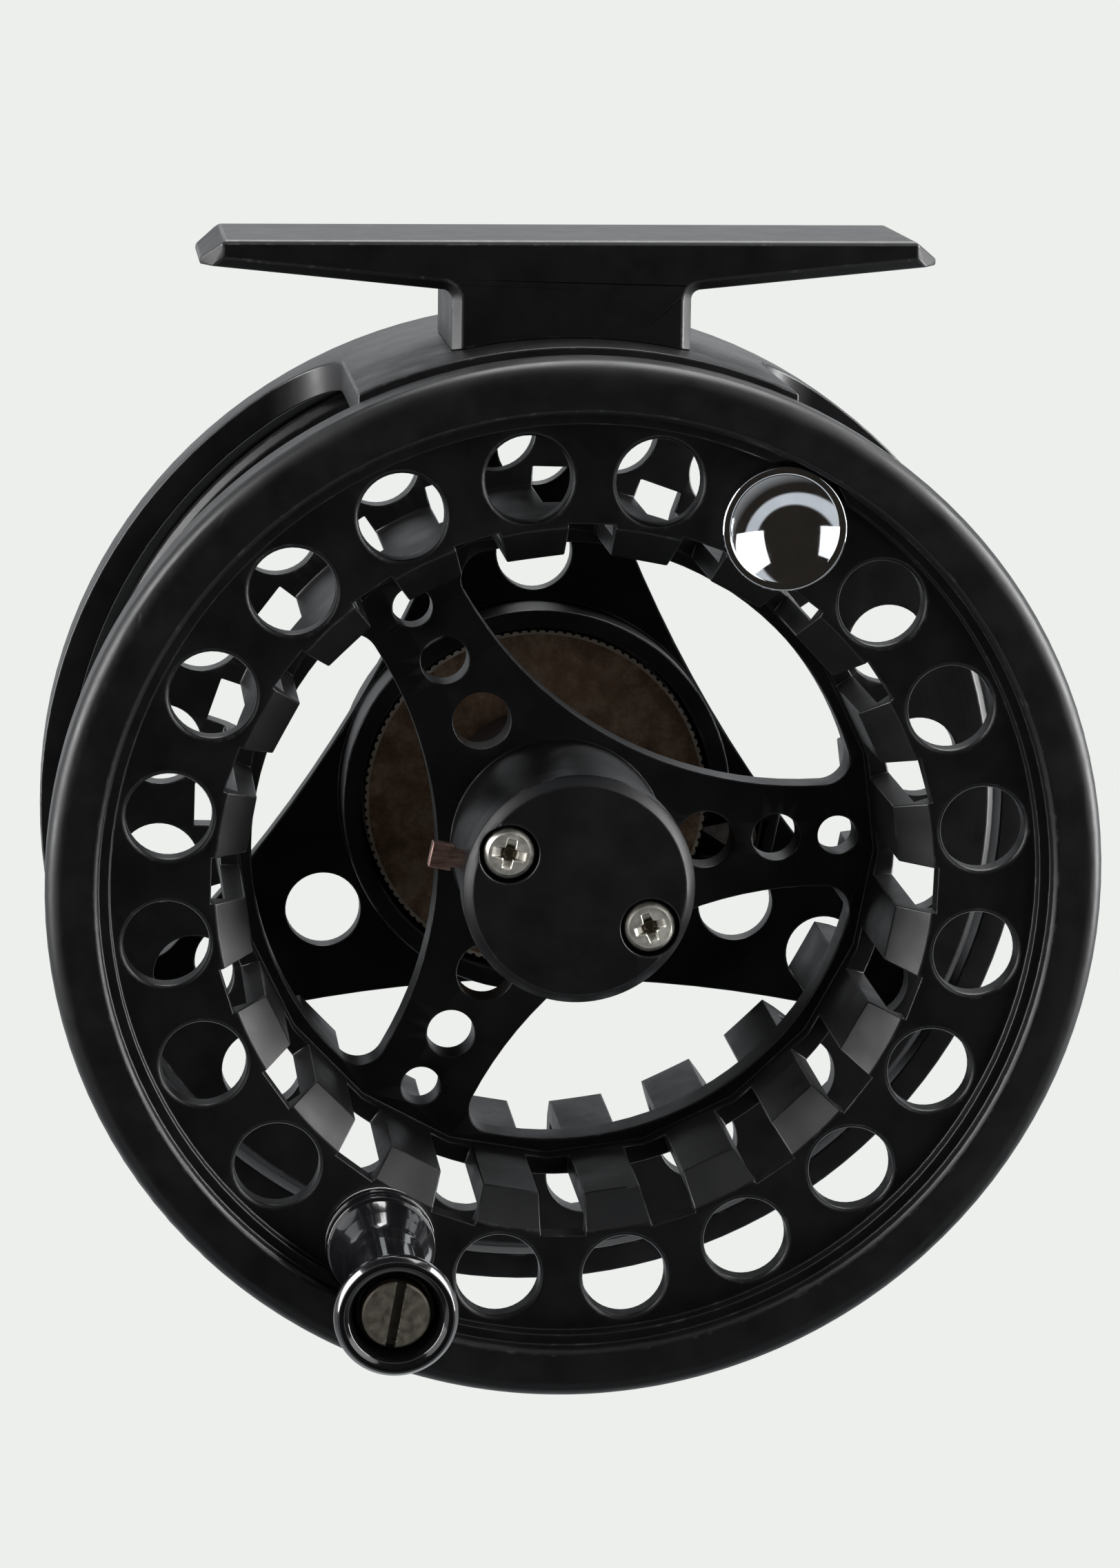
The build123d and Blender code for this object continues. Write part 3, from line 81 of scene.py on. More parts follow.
spool_low, spool_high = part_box("spool")
AXIS_X = (spool_low.x + spool_high.x) / 2
AXIS_Z = (spool_low.z + spool_high.z) / 2
RIM_FACE = spool_low.y
print("spool axis at", round(AXIS_X, 5), round(AXIS_Z, 5), "rim face at", round(RIM_FACE, 5))


def linked(name, data):
    """A new object that holds some data, put in the scene."""
    thing = bpy.data.objects.new(name, data)
    bpy.context.scene.collection.objects.link(thing)
    return thing


# %% [markdown]
# The camera is a long lens a little above the reel and to its left, so the spool's far side shows
# through the ports. Its place is given as an azimuth, an elevation and a distance from a point
# near the hub, which is easier to reason about than three coordinates.

# %% Camera
AZIMUTH = math.radians(-6.372)
ELEVATION = math.radians(12.235)
ROLL = math.radians(0.739)
DISTANCE = 358.353 * MM
ASIDE, DEEPER, ABOVE = -1.725 * MM, 1.0 * MM, 8.78 * MM      # from the hub to the aim
AIM = Vector((AXIS_X + ASIDE, RIM_FACE + DEEPER, AXIS_Z + ABOVE))
FOCAL_LENGTH = 103.32728232      # millimetres
SENSOR_HEIGHT = 36.0
NEAREST, FARTHEST = 0.01, 100.0

back = Vector(
    (
        math.sin(AZIMUTH) * math.cos(ELEVATION),
        -math.cos(AZIMUTH) * math.cos(ELEVATION),
        math.sin(ELEVATION),
    )
)
right = (-back).cross(Vector((0, 0, 1))).normalized()
up = right.cross(-back)
turned_right = right * math.cos(ROLL) + up * math.sin(ROLL)
turned_up = -right * math.sin(ROLL) + up * math.cos(ROLL)
camera_data = bpy.data.cameras.new("camera")
camera_data.sensor_fit = "VERTICAL"
camera_data.sensor_height = SENSOR_HEIGHT
camera_data.lens = FOCAL_LENGTH
camera_data.clip_start = NEAREST
camera_data.clip_end = FARTHEST
camera = linked("camera", camera_data)
axes = Matrix((turned_right, turned_up, back)).transposed()
camera.matrix_world = Matrix.Translation(AIM + back * DISTANCE) @ axes.to_4x4()
bpy.context.scene.camera = camera
print("lens", round(camera_data.lens, 2), "mm at", [round(v, 4) for v in camera.location])

# %% [markdown]
# A black reel is drawn by what it reflects. The room is bright behind the reel, dim above and at
# the sides, and dark on the camera's side, so flat faces stay deep black and rounded edges pick up
# soft light. A world shader that depends only on direction does this: a colour ramp runs from
# straight behind the reel, at 0, to straight behind the camera, at 1. A ring of light round the
# camera gives the polished parts something to reflect. The camera itself sees a plain pale colour
# instead, through a Light Path node, from whichever side it looks.

# %% Room light
PALE = (0.847, 0.863, 0.839, 1)
WORLD_BRIGHT = (0.93, 0.97, 1.0, 1)
WORLD_DARK = (0.03, 0.026, 0.022, 1)
WORLD_RING = (0.85, 0.9, 0.95, 1)
WORLD_STOPS = [
    (0.28, WORLD_BRIGHT),
    (0.58, WORLD_DARK),
    (0.67, WORLD_DARK),
    (0.69, WORLD_RING),
    (0.79, WORLD_RING),
    (0.81, WORLD_DARK),
]
WORLD_STRENGTH = 0.7
world = bpy.data.worlds.new("studio")
bpy.context.scene.world = world
world.use_nodes = True
room = world.node_tree
room.nodes.clear()
direction = room.nodes.new("ShaderNodeTexCoord")
toward = room.nodes.new("ShaderNodeVectorMath")
toward.operation = "DOT_PRODUCT"
toward.inputs[1].default_value = back
room.links.new(direction.outputs["Generated"], toward.inputs[0])
share = room.nodes.new("ShaderNodeMath")
share.operation = "MULTIPLY_ADD"
share.inputs[1].default_value = 0.5
share.inputs[2].default_value = 0.5
room.links.new(toward.outputs["Value"], share.inputs[0])
shade = room.nodes.new("ShaderNodeValToRGB")
for element, (position, colour) in zip(shade.color_ramp.elements, WORLD_STOPS[:2]):
    element.position, element.color = position, colour
for position, colour in WORLD_STOPS[2:]:
    shade.color_ramp.elements.new(position).color = colour
room.links.new(share.outputs["Value"], shade.inputs["Fac"])
glow = room.nodes.new("ShaderNodeBackground")
glow.inputs["Strength"].default_value = WORLD_STRENGTH
room.links.new(shade.outputs["Color"], glow.inputs["Color"])
plain = room.nodes.new("ShaderNodeBackground")
plain.inputs["Color"].default_value = PALE
ray = room.nodes.new("ShaderNodeLightPath")
seen = room.nodes.new("ShaderNodeMixShader")
room.links.new(ray.outputs["Is Camera Ray"], seen.inputs["Fac"])
room.links.new(glow.outputs["Background"], seen.inputs[1])
room.links.new(plain.outputs["Background"], seen.inputs[2])
world_out = room.nodes.new("ShaderNodeOutputWorld")
room.links.new(seen.outputs["Shader"], world_out.inputs["Surface"])
bpy.context.scene.view_settings.view_transform = "Standard"

# %% [markdown]
# Five rectangular lamps stand round the reel, and each one looks at the hub. The strong ones are
# beside and above it, where they graze the edges. The two in front are weak, and only lift the
# rounded corners that face the camera.

# %% Softboxes
HUB = Vector((AXIS_X, RIM_FACE, AXIS_Z))
LAMPS = [      # name, place from the hub and size in metres, power in watts
    ("lamp_top", (0.14, 0.26, 0.5), (0.6, 0.4), 4.0),
    ("lamp_left", (-0.55, -0.04, 0.15), (0.2, 0.6), 6.0),
    ("lamp_right", (0.55, -0.02, 0.12), (0.2, 0.6), 8.0),
    ("lamp_front_left", (-0.47, -0.34, 0.10), (0.3, 0.4), 0.5),
    ("lamp_front_right", (0.47, -0.33, 0.20), (0.4, 0.46), 0.9),
]
for name, from_hub, size, power in LAMPS:
    lamp_data = bpy.data.lights.new(name, "AREA")
    lamp_data.shape = "RECTANGLE"
    lamp_data.size, lamp_data.size_y = size
    lamp_data.energy = power
    lamp = linked(name, lamp_data)
    lamp.location = HUB + Vector(from_hub)
    lamp.rotation_euler = (HUB - lamp.location).to_track_quat("-Z", "Y").to_euler()

# %% [markdown]
# The floor lies well below the reel, which hangs from its foot. It is one large plane that glows
# evenly in the colour of the background, so it takes no shadow. It is hidden from reflections and
# from soft light, because a bright floor would turn the black faces grey.

# %% Floor
FLOOR_DROP = 0.25
FLOOR_HALF = 15.0
floor_mesh = bpy.data.meshes.new("floor")
floor_level = CAD_BOX[0][2] - FLOOR_DROP
corner_signs = np.array([(-1, -1), (1, -1), (1, 1), (-1, 1)], float)
floor_points = np.column_stack([corner_signs * FLOOR_HALF, np.full(4, floor_level)])
floor_mesh.from_pydata(floor_points.tolist(), [], [(0, 1, 2, 3)])
floor = linked("floor", floor_mesh)
paper = bpy.data.materials.new("paper")
paper.use_nodes = True
paper_shader = paper.node_tree.nodes["Principled BSDF"]
paper_shader.inputs["Base Color"].default_value = (0, 0, 0, 1)
paper_shader.inputs["Roughness"].default_value = 1.0
paper_shader.inputs["Specular IOR Level"].default_value = 0.0
paper_shader.inputs["Emission Color"].default_value = PALE
paper_shader.inputs["Emission Strength"].default_value = 1.0
floor.visible_glossy = False
floor.visible_diffuse = False
floor_mesh.materials.append(paper)

# %% [markdown]
# Finishes come next. All are worked out from Object coordinates, so they stay in place on each
# piece. A short helper starts a material and centres its coordinates on the spool's axis, because
# most of the reel was turned on a lathe about that line.

# %% Material helpers


def start_finish(name):
    """A new material: its node tree, its shader and coordinates measured from the spool's axis."""
    material = bpy.data.materials.new(name)
    material.use_nodes = True
    tree = material.node_tree
    shader = tree.nodes["Principled BSDF"]
    coordinates = tree.nodes.new("ShaderNodeTexCoord")
    shift = tree.nodes.new("ShaderNodeMapping")
    shift.inputs["Location"].default_value = (-AXIS_X, 0, -AXIS_Z)
    tree.links.new(coordinates.outputs["Object"], shift.inputs["Vector"])
    return material, tree, shader, shift.outputs["Vector"]


def cloud(tree, vector, per_metre, detail=3.0, roughness=0.55, stretch=None):
    """Noise with so many waves to a metre, stretched along an axis if asked."""
    if stretch:
        scale = tree.nodes.new("ShaderNodeVectorMath")
        scale.operation = "MULTIPLY"
        scale.inputs[1].default_value = stretch
        tree.links.new(vector, scale.inputs[0])
        vector = scale.outputs["Vector"]
    noise = tree.nodes.new("ShaderNodeTexNoise")
    noise.inputs["Scale"].default_value = per_metre
    noise.inputs["Detail"].default_value = detail
    noise.inputs["Roughness"].default_value = roughness
    tree.links.new(vector, noise.inputs["Vector"])
    return noise.outputs["Fac"]


def axis_distance(tree, vector):
    """The distance of a point from the spool's axis, which lies along Y."""
    flat = tree.nodes.new("ShaderNodeVectorMath")
    flat.operation = "MULTIPLY"
    flat.inputs[1].default_value = (1, 0, 1)
    tree.links.new(vector, flat.inputs[0])
    distance = tree.nodes.new("ShaderNodeVectorMath")
    distance.operation = "LENGTH"
    tree.links.new(flat.outputs["Vector"], distance.inputs[0])
    return distance.outputs["Value"]


def lathe_lines(tree, vector, per_metre):
    """Noise that depends only on the distance from the axis: the rings a turning tool leaves."""
    rings = tree.nodes.new("ShaderNodeTexNoise")
    rings.noise_dimensions = "1D"
    rings.inputs["Scale"].default_value = per_metre
    rings.inputs["Detail"].default_value = 2.0
    tree.links.new(axis_distance(tree, vector), rings.inputs["W"])
    return rings.outputs["Fac"]


def ramp(tree, fac, stops):
    """A colour ramp with stops of (position, colour)."""
    node = tree.nodes.new("ShaderNodeValToRGB")
    elements = node.color_ramp.elements
    elements[0].position, elements[0].color = stops[0][0], (*stops[0][1], 1)
    elements[1].position, elements[1].color = stops[-1][0], (*stops[-1][1], 1)
    for position, colour in stops[1:-1]:
        elements.new(position).color = (*colour, 1)
    tree.links.new(fac, node.inputs["Fac"])
    return node.outputs["Color"]


def spread(tree, fac, low, high, start=0.3, end=0.7):
    """Maps noise, which mostly lies between start and end, to a range of values."""
    node = tree.nodes.new("ShaderNodeMapRange")
    node.inputs["From Min"].default_value = start
    node.inputs["From Max"].default_value = end
    node.inputs["To Min"].default_value = low
    node.inputs["To Max"].default_value = high
    tree.links.new(fac, node.inputs["Value"])
    return node.outputs["Result"]


def blend(tree, fac, first, second):
    """A mix of a colour socket and a plain colour, by a factor from 0 to 1."""
    node = tree.nodes.new("ShaderNodeMix")
    node.data_type = "RGBA"
    tree.links.new(fac, node.inputs["Factor"])
    tree.links.new(first, node.inputs["A"])
    node.inputs["B"].default_value = (*second, 1)
    return node.outputs["Result"]


def bump(tree, height, millimetres, normal=None, strength=1.0):
    """A bump of a given height, laid over another bump if one is given."""
    node = tree.nodes.new("ShaderNodeBump")
    node.inputs["Strength"].default_value = strength
    node.inputs["Distance"].default_value = millimetres * MM
    tree.links.new(height, node.inputs["Height"])
    if normal is not None:
        tree.links.new(normal, node.inputs["Normal"])
    return node.outputs["Normal"]


# %% [markdown]
# Black anodising is a thin, hard, slightly open skin on aluminium. It is satin, never glossy: fine
# grain from blasting, faint lathe rings under it, and cloudy patches where it was handled. On sharp
# corners the skin wears and grey metal shows, so rounded corners get a worn version of the finish.

# %% Anodised finishes
GRAIN = 5200           # waves of blasted grain to a metre
LATHE_RINGS = 2600     # turning marks to a metre
GRAIN_HEIGHT = 0.006   # millimetres


def anodised(name, dark, light, rough=(0.36, 0.5), rings=0.004, sheen=0.42):
    """Satin black with cloudy tone, blasted grain and lathe rings of a height in millimetres."""
    material, tree, shader, place = start_finish(name)
    patches = cloud(tree, place, 90, 4)
    tone = ramp(tree, patches, [(0.3, dark), (0.72, light)])
    tree.links.new(tone, shader.inputs["Base Color"])
    smears = cloud(tree, place, 260, 4, 0.6)
    tree.links.new(spread(tree, smears, *rough), shader.inputs["Roughness"])
    grain = cloud(tree, place, GRAIN, 2)
    turned = bump(tree, lathe_lines(tree, place, LATHE_RINGS), rings)
    tree.links.new(bump(tree, grain, GRAIN_HEIGHT, turned, 0.7), shader.inputs["Normal"])
    shader.inputs["Specular IOR Level"].default_value = sheen
    return material


def worn_edge(name, skin, metal, amount):
    """Anodising rubbed through in places, so that grey metal shows. Amount runs from 0 to 1."""
    material, tree, shader, place = start_finish(name)
    rubbing = cloud(tree, place, 700, 5, 0.7)
    middle = 0.72 - 0.3 * amount
    start, end = middle - 0.12, middle + 0.12
    colour = ramp(tree, rubbing, [(start, skin), (end, metal)])
    tree.links.new(colour, shader.inputs["Base Color"])
    bare = ramp(tree, rubbing, [(start, (0, 0, 0)), (end, (0.85, 0.85, 0.85))])
    tree.links.new(bare, shader.inputs["Metallic"])
    tree.links.new(spread(tree, rubbing, 0.42, 0.28), shader.inputs["Roughness"])
    grain = cloud(tree, place, GRAIN, 2)
    tree.links.new(bump(tree, grain, 0.004), shader.inputs["Normal"])
    return material


SPOOL_DARK, SPOOL_LIGHT = (0.0018, 0.0018, 0.0021), (0.0044, 0.0044, 0.0052)
FRAME_DARK, FRAME_LIGHT = (0.0018, 0.0018, 0.0023), (0.0045, 0.0045, 0.0058)
CAP_DARK, CAP_LIGHT = (0.002, 0.002, 0.0024), (0.0048, 0.0048, 0.006)
FOOT_DARK, FOOT_LIGHT = (0.0018, 0.0018, 0.0021), (0.0044, 0.0044, 0.0048)
EDGE_BLACK, EDGE_GREY = (0.006, 0.006, 0.0066), (0.10, 0.10, 0.105)
FOOT_EDGE_BLACK, FOOT_EDGE_GREY = (0.012, 0.012, 0.013), (0.16, 0.16, 0.16)

SPOOL_SKIN = anodised("spool_anodising", SPOOL_DARK, SPOOL_LIGHT)
FRAME_SKIN = anodised("frame_anodising", FRAME_DARK, FRAME_LIGHT)
CAP_SKIN = anodised("cap_anodising", CAP_DARK, CAP_LIGHT, rings=0.002)
FOOT_SKIN = anodised("foot_anodising", FOOT_DARK, FOOT_LIGHT, rings=0.0, sheen=0.3)
SPOOL_EDGE = worn_edge("spool_worn_edge", EDGE_BLACK, EDGE_GREY, 0.15)
FRAME_EDGE = worn_edge("frame_worn_edge", EDGE_BLACK, EDGE_GREY, 0.15)
FOOT_EDGE = worn_edge("foot_worn_edge", FOOT_EDGE_BLACK, FOOT_EDGE_GREY, 0.1)
print("anodised finishes ready")

# %% [markdown]
# The bright parts are few: nickel screws, a chrome counterweight, the copper latch and the bronze
# drag disc. Metal is shaded by its roughness more than by its colour, so each has its own scratches
# or mottling in the roughness, and a slower change in the colour.

# %% Bright finishes


def metal(name, colours, rough, per_metre, stretch=None, height=0.003):
    """Metal with a cloudy colour, uneven polish and fine scratches, drawn out by a stretch."""
    material, tree, shader, place = start_finish(name)
    shader.inputs["Metallic"].default_value = 1.0
    tone = cloud(tree, place, per_metre, 4)
    colour = ramp(tree, tone, [(0.32, colours[0]), (0.7, colours[1])])
    tree.links.new(colour, shader.inputs["Base Color"])
    scratches = cloud(tree, place, per_metre * 4, 3, 0.6, stretch)
    tree.links.new(spread(tree, scratches, *rough), shader.inputs["Roughness"])
    tree.links.new(bump(tree, scratches, height), shader.inputs["Normal"])
    return material


NICKEL_TONES = ((0.55, 0.53, 0.47), (0.82, 0.79, 0.72))
CHROME_TONES = ((0.70, 0.72, 0.75), (0.83, 0.84, 0.86))
COPPER_TONES = ((0.30, 0.18, 0.15), (0.62, 0.42, 0.36))
STEEL_TONES = ((0.42, 0.42, 0.43), (0.6, 0.6, 0.61))
SPRING_TONES = ((0.2, 0.2, 0.21), (0.42, 0.41, 0.4))
BRONZE_TONES = ((0.2, 0.18, 0.15), (0.36, 0.32, 0.26))

NICKEL = metal("nickel_plate", NICKEL_TONES, (0.1, 0.26), 900)
CHROME = metal("polished_chrome", CHROME_TONES, (0.03, 0.08), 400, height=0.0006)
COPPER = metal("copper_latch", COPPER_TONES, (0.3, 0.5), 700, (0.15, 1, 1), 0.004)
STEEL = metal("ground_steel", STEEL_TONES, (0.22, 0.38), 500, (1, 0.1, 1))
SPRING = metal("spring_steel", SPRING_TONES, (0.25, 0.42), 800)
DULL_BRONZE = metal("dull_bronze", BRONZE_TONES, (0.34, 0.5), 700, (1, 1, 0.2), 0.005)

disc_low, disc_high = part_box("drag_disc")
# The outer band of the drag disc is a painted highlight: a near-white colour along the toothed
# edge.
HIGHLIGHT_BAND = 0.3 * MM
EDGE_BLUR = 0.1 * MM
DISC_EDGE = (disc_high.x - disc_low.x) / 2 - HIGHLIGHT_BAND
BLOTCH_TONES = [(0.34, (0.2, 0.125, 0.085)), (0.5, (0.46, 0.3, 0.2)), (0.68, (0.86, 0.66, 0.48))]
EDGE_HIGHLIGHT_TONE = (0.95, 0.88, 0.76)


def mottled_bronze(name):
    """A drag disc browned by heat and oil: blotches, lathe rings and a painted highlight, a
    near-white band along the toothed edge.
    """
    material, tree, shader, place = start_finish(name)
    shader.inputs["Metallic"].default_value = 0.9
    blotches = cloud(tree, place, 420, 8, 0.72)
    edge = spread(tree, axis_distance(tree, place), 0.0, 1.0, DISC_EDGE - EDGE_BLUR, DISC_EDGE)
    # Painted highlight: the colour turns near-white in the outer band.
    colour = blend(tree, edge, ramp(tree, blotches, BLOTCH_TONES), EDGE_HIGHLIGHT_TONE)
    tree.links.new(colour, shader.inputs["Base Color"])
    tree.links.new(spread(tree, blotches, 0.52, 0.3), shader.inputs["Roughness"])
    rings = bump(tree, lathe_lines(tree, place, 3500), 0.006)
    specks = cloud(tree, place, 2600, 2)
    tree.links.new(bump(tree, specks, 0.008, rings), shader.inputs["Normal"])
    return material


DISC_BRONZE = mottled_bronze("mottled_bronze")


def moulded(name, colours, rough, coat=0.0, per_metre=300, height=0.004):
    """Moulded or machined plastic with a faint change of tone and fine tool marks."""
    material, tree, shader, place = start_finish(name)
    tone = cloud(tree, place, per_metre, 3)
    colour = ramp(tree, tone, [(0.3, colours[0]), (0.7, colours[1])])
    tree.links.new(colour, shader.inputs["Base Color"])
    marks = cloud(tree, place, per_metre * 6, 3)
    tree.links.new(spread(tree, marks, *rough), shader.inputs["Roughness"])
    tree.links.new(bump(tree, marks, height), shader.inputs["Normal"])
    shader.inputs["Coat Weight"].default_value = coat
    shader.inputs["Coat Roughness"].default_value = 0.06
    return material


GLOSS_TONES = ((0.004, 0.004, 0.005), (0.008, 0.008, 0.009))
ACETAL_TONES = ((0.62, 0.61, 0.57), (0.76, 0.75, 0.71))
FRICTION_TONES = ((0.16, 0.11, 0.07), (0.36, 0.27, 0.18))

HANDLE_GLOSS = moulded("handle_gloss", GLOSS_TONES, (0.12, 0.2), 1.0, height=0.0008)
ACETAL = moulded("white_acetal", ACETAL_TONES, (0.4, 0.55))
FRICTION = moulded("friction_composite", FRICTION_TONES, (0.6, 0.8), 0.0, 1500, 0.02)
print("bright finishes ready")

# %% [markdown]
# Machined pieces keep the engineering model's shape, but a real edge is never perfectly sharp. Each
# is copied, its loose triangles are merged and its flat faces joined, and a small bevel rounds the
# corners. A joined face with a window in it is cut into triangles again before the bevel, because
# one face with so many sides would be filled right across the window. The bevel's own faces take
# the worn finish, which is where wear shows on a real reel.
# The modifiers are applied at once, because a bevel can throw a stray corner out of a thin face,
# and every corner is then brought back inside the box of the machined piece.

# %% Rounded copies of machined pieces
MERGE = 0.002 * MM
FLAT_ANGLE = math.radians(0.6)
CORNER_ANGLE = math.radians(32)


def softened(node, skin, edge, width):
    """A copy of a machined piece with its corners rounded by a width in millimetres."""
    mesh = NODES[node].data.copy()
    shape = bmesh.new()
    shape.from_mesh(mesh)
    bmesh.ops.remove_doubles(shape, verts=shape.verts, dist=MERGE)
    bmesh.ops.dissolve_limit(
        shape, angle_limit=FLAT_ANGLE, verts=shape.verts, edges=shape.edges
    )
    many_sided = [face for face in shape.faces if len(face.verts) > 4]
    bmesh.ops.triangulate(shape, faces=many_sided, quad_method="BEAUTY", ngon_method="BEAUTY")
    shape.to_mesh(mesh)
    shape.free()
    mesh.materials.clear()
    mesh.materials.append(skin)
    mesh.materials.append(edge)
    mesh.polygons.foreach_set("material_index", np.zeros(len(mesh.polygons), np.int32))
    mesh.polygons.foreach_set("use_smooth", np.ones(len(mesh.polygons), bool))
    mesh.set_sharp_from_angle(angle=CORNER_ANGLE)
    piece = linked(node + "_rounded", mesh)
    bevel = piece.modifiers.new("bevel", "BEVEL")
    bevel.width = width * MM
    bevel.segments = 2
    bevel.limit_method = "ANGLE"
    bevel.angle_limit = CORNER_ANGLE
    bevel.use_clamp_overlap = False
    bevel.material = 1
    bevel.miter_outer = "MITER_SHARP"
    weighted = piece.modifiers.new("weighted", "WEIGHTED_NORMAL")
    weighted.keep_sharp = False
    weighted.weight = 80
    settled = bpy.context.evaluated_depsgraph_get()
    rounded = piece.evaluated_get(settled)
    finished = bpy.data.meshes.new_from_object(rounded, depsgraph=settled)
    piece.modifiers.clear()
    low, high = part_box(node)
    points = np.empty(len(finished.vertices) * 3, np.float32)
    finished.vertices.foreach_get("co", points)
    points = np.clip(points.reshape(-1, 3), np.array(low), np.array(high))
    finished.vertices.foreach_set("co", points.astype(np.float32).ravel())
    piece.data = finished
    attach(piece, BODY_OF[node])
    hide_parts(node)
    print(node, "rounded:", len(finished.polygons), "faces")


softened("spool", SPOOL_SKIN, SPOOL_EDGE, 0.14)
softened("frame", FRAME_SKIN, FRAME_EDGE, 0.2)
softened("reel_foot", FOOT_SKIN, FOOT_EDGE, 0.16)
softened("hub_cap", CAP_SKIN, SPOOL_EDGE, 0.12)
softened("release_latch", COPPER, COPPER, 0.12)
softened("drag_knob", CAP_SKIN, SPOOL_EDGE, 0.15)
softened("knob_cap", CAP_SKIN, SPOOL_EDGE, 0.08)

# %% [markdown]
# Turned pieces are surfaces of revolution. A profile of radius and depth is carried round an axis
# that lies along Y, all at once as one numpy array. Corners of the profile are first rounded with
# short arcs, because they carry the bright lines on a glossy handle.

# %% Turned surfaces
NEARLY_STRAIGHT = 1.55      # half of a corner's angle, in radians, past which no arc is made
SIDE_SHARE = 0.48           # the most of a side that one arc may use


def rounded_profile(corners, steps=5):
    """Points along a line of (radius, depth, bend), each corner replaced by an arc of that bend.

    An arc starts and ends at bend / tan(half the corner's angle) from the corner.
    """
    corners = np.array(corners, float)
    points = [corners[0, :2]]
    for before, here, after in zip(corners[:-2], corners[1:-1], corners[2:]):
        inward = before[:2] - here[:2]
        outward = after[:2] - here[:2]
        reach_in, reach_out = np.linalg.norm(inward), np.linalg.norm(outward)
        inward, outward = inward / reach_in, outward / reach_out
        half = np.arccos(np.clip(inward @ outward, -1, 1)) / 2
        if here[2] <= 0 or half > NEARLY_STRAIGHT:
            points.append(here[:2])
            continue
        tangent = min(here[2] / np.tan(half), SIDE_SHARE * reach_in, SIDE_SHARE * reach_out)
        bend = tangent * np.tan(half)
        toward_middle = (inward + outward) / np.linalg.norm(inward + outward)
        middle = here[:2] + toward_middle * bend / np.sin(half)
        first = here[:2] + inward * tangent - middle
        last = here[:2] + outward * tangent - middle
        share = np.linspace(0, 1, steps)[:, None]
        arc = first * (1 - share) + last * share
        arc = arc / np.linalg.norm(arc, axis=1)[:, None] * bend + middle
        points.extend(arc)
    points.append(corners[-1, :2])
    return np.array(points)


def faced_outward(name, points, faces):
    """A mesh of points and faces, smooth, with every face turned to the outside."""
    mesh = bpy.data.meshes.new(name)
    mesh.from_pydata(points.tolist(), [], faces)
    shape = bmesh.new()
    shape.from_mesh(mesh)
    bmesh.ops.recalc_face_normals(shape, faces=shape.faces)
    shape.to_mesh(mesh)
    shape.free()
    mesh.polygons.foreach_set("use_smooth", np.ones(len(mesh.polygons), bool))
    return mesh


def mesh_from_rings(name, rings, material, node, attribute=None):
    """A closed mesh from an array of rings of points: the first and last rings are poles."""
    count, around = rings.shape[:2]
    points = np.concatenate([rings[0, :1], rings[1:-1].reshape(-1, 3), rings[-1, :1]])
    column = np.arange(around)
    following = (column + 1) % around
    first = 1 + column
    top = np.column_stack([np.zeros(around, int), first, 1 + following])
    row = 1 + np.arange(count - 3)[:, None] * around
    below = row + around
    quads = np.stack([row + column, below + column, below + following, row + following], -1)
    last_row = 1 + (count - 3) * around
    pole = len(points) - 1
    bottom = np.column_stack([last_row + column, np.full(around, pole), last_row + following])
    faces = top.tolist() + quads.reshape(-1, 4).tolist() + bottom.tolist()
    mesh = faced_outward(name, points, faces)
    if attribute is not None:
        values = np.concatenate([attribute[0, :1], attribute[1:-1].reshape(-1), attribute[-1, :1]])
        layer = mesh.attributes.new("recess", "FLOAT", "POINT")
        layer.data.foreach_set("value", values.astype(np.float32))
    mesh.materials.append(material)
    piece = linked(name, mesh)
    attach(piece, BODY_OF[node])
    print(name, "made:", len(points), "points")
    return piece


def spin(profile, centre, around=160):
    """Rings of points: a radius turned about the centre, and a depth along Y."""
    angle = np.linspace(0, 2 * np.pi, around, endpoint=False)
    radius = profile[:, :1]
    x = centre[0] + radius * np.cos(angle)
    z = centre[1] + radius * np.sin(angle)
    y = np.broadcast_to(profile[:, 1:2], x.shape)
    return np.stack([x, y, z], -1)


def centre_of(node):
    """The middle of a node's box, seen along Y."""
    low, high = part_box(node)
    return ((low.x + high.x) / 2, (low.z + high.z) / 2)


# %% [markdown]
# The grip is shaped like a cotton reel: a grooved flare at the spool, a waist for the fingers and a
# dished flange at the end with the screw inside it. It is a closed tube, so the profile runs down
# the outside, across the dish and back through the bore.

# %% Handle grip
grip_low, grip_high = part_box("handle_knob")
END, BASE = grip_low.y / MM, grip_high.y / MM
bushing_low, bushing_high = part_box("handle_bushing")
BORE = (bushing_high.x - bushing_low.x) / 2 / MM
FLARE, WAIST, FLANGE = 4.50, 3.00, 4.85
DISH_FLOOR = END + 2.10
GRIP = [      # each corner's radius, depth and bend, in millimetres
    (BORE, BASE, 0), (4.30, BASE, 0),
    (FLARE, BASE - 0.25, 0.15), (FLARE, BASE - 1.00, 0.12),
    (4.18, BASE - 1.18, 0.08), (4.18, BASE - 1.34, 0.08),
    (4.46, BASE - 1.52, 0.12), (4.38, BASE - 2.30, 0.12),
    (4.02, BASE - 2.48, 0.08), (4.00, BASE - 2.64, 0.08),
    (4.24, BASE - 2.84, 0.12), (3.72, BASE - 4.20, 1.5), (3.12, BASE - 6.00, 4.0),
    (WAIST, BASE - 8.40, 6.0), (WAIST, END + 6.40, 6.0),
    (3.26, END + 4.30, 4.0), (4.02, END + 2.60, 1.2), (4.66, END + 1.62, 0.25),
    (FLANGE, END + 1.25, 0.2), (FLANGE, END + 0.55, 0.35),
    (4.48, END + 0.04, 0.25), (4.10, END, 0.3), (3.68, END + 0.28, 0.25),
    (3.08, DISH_FLOOR, 0.15), (BORE, DISH_FLOOR, 0), (BORE, BASE, 0),
]
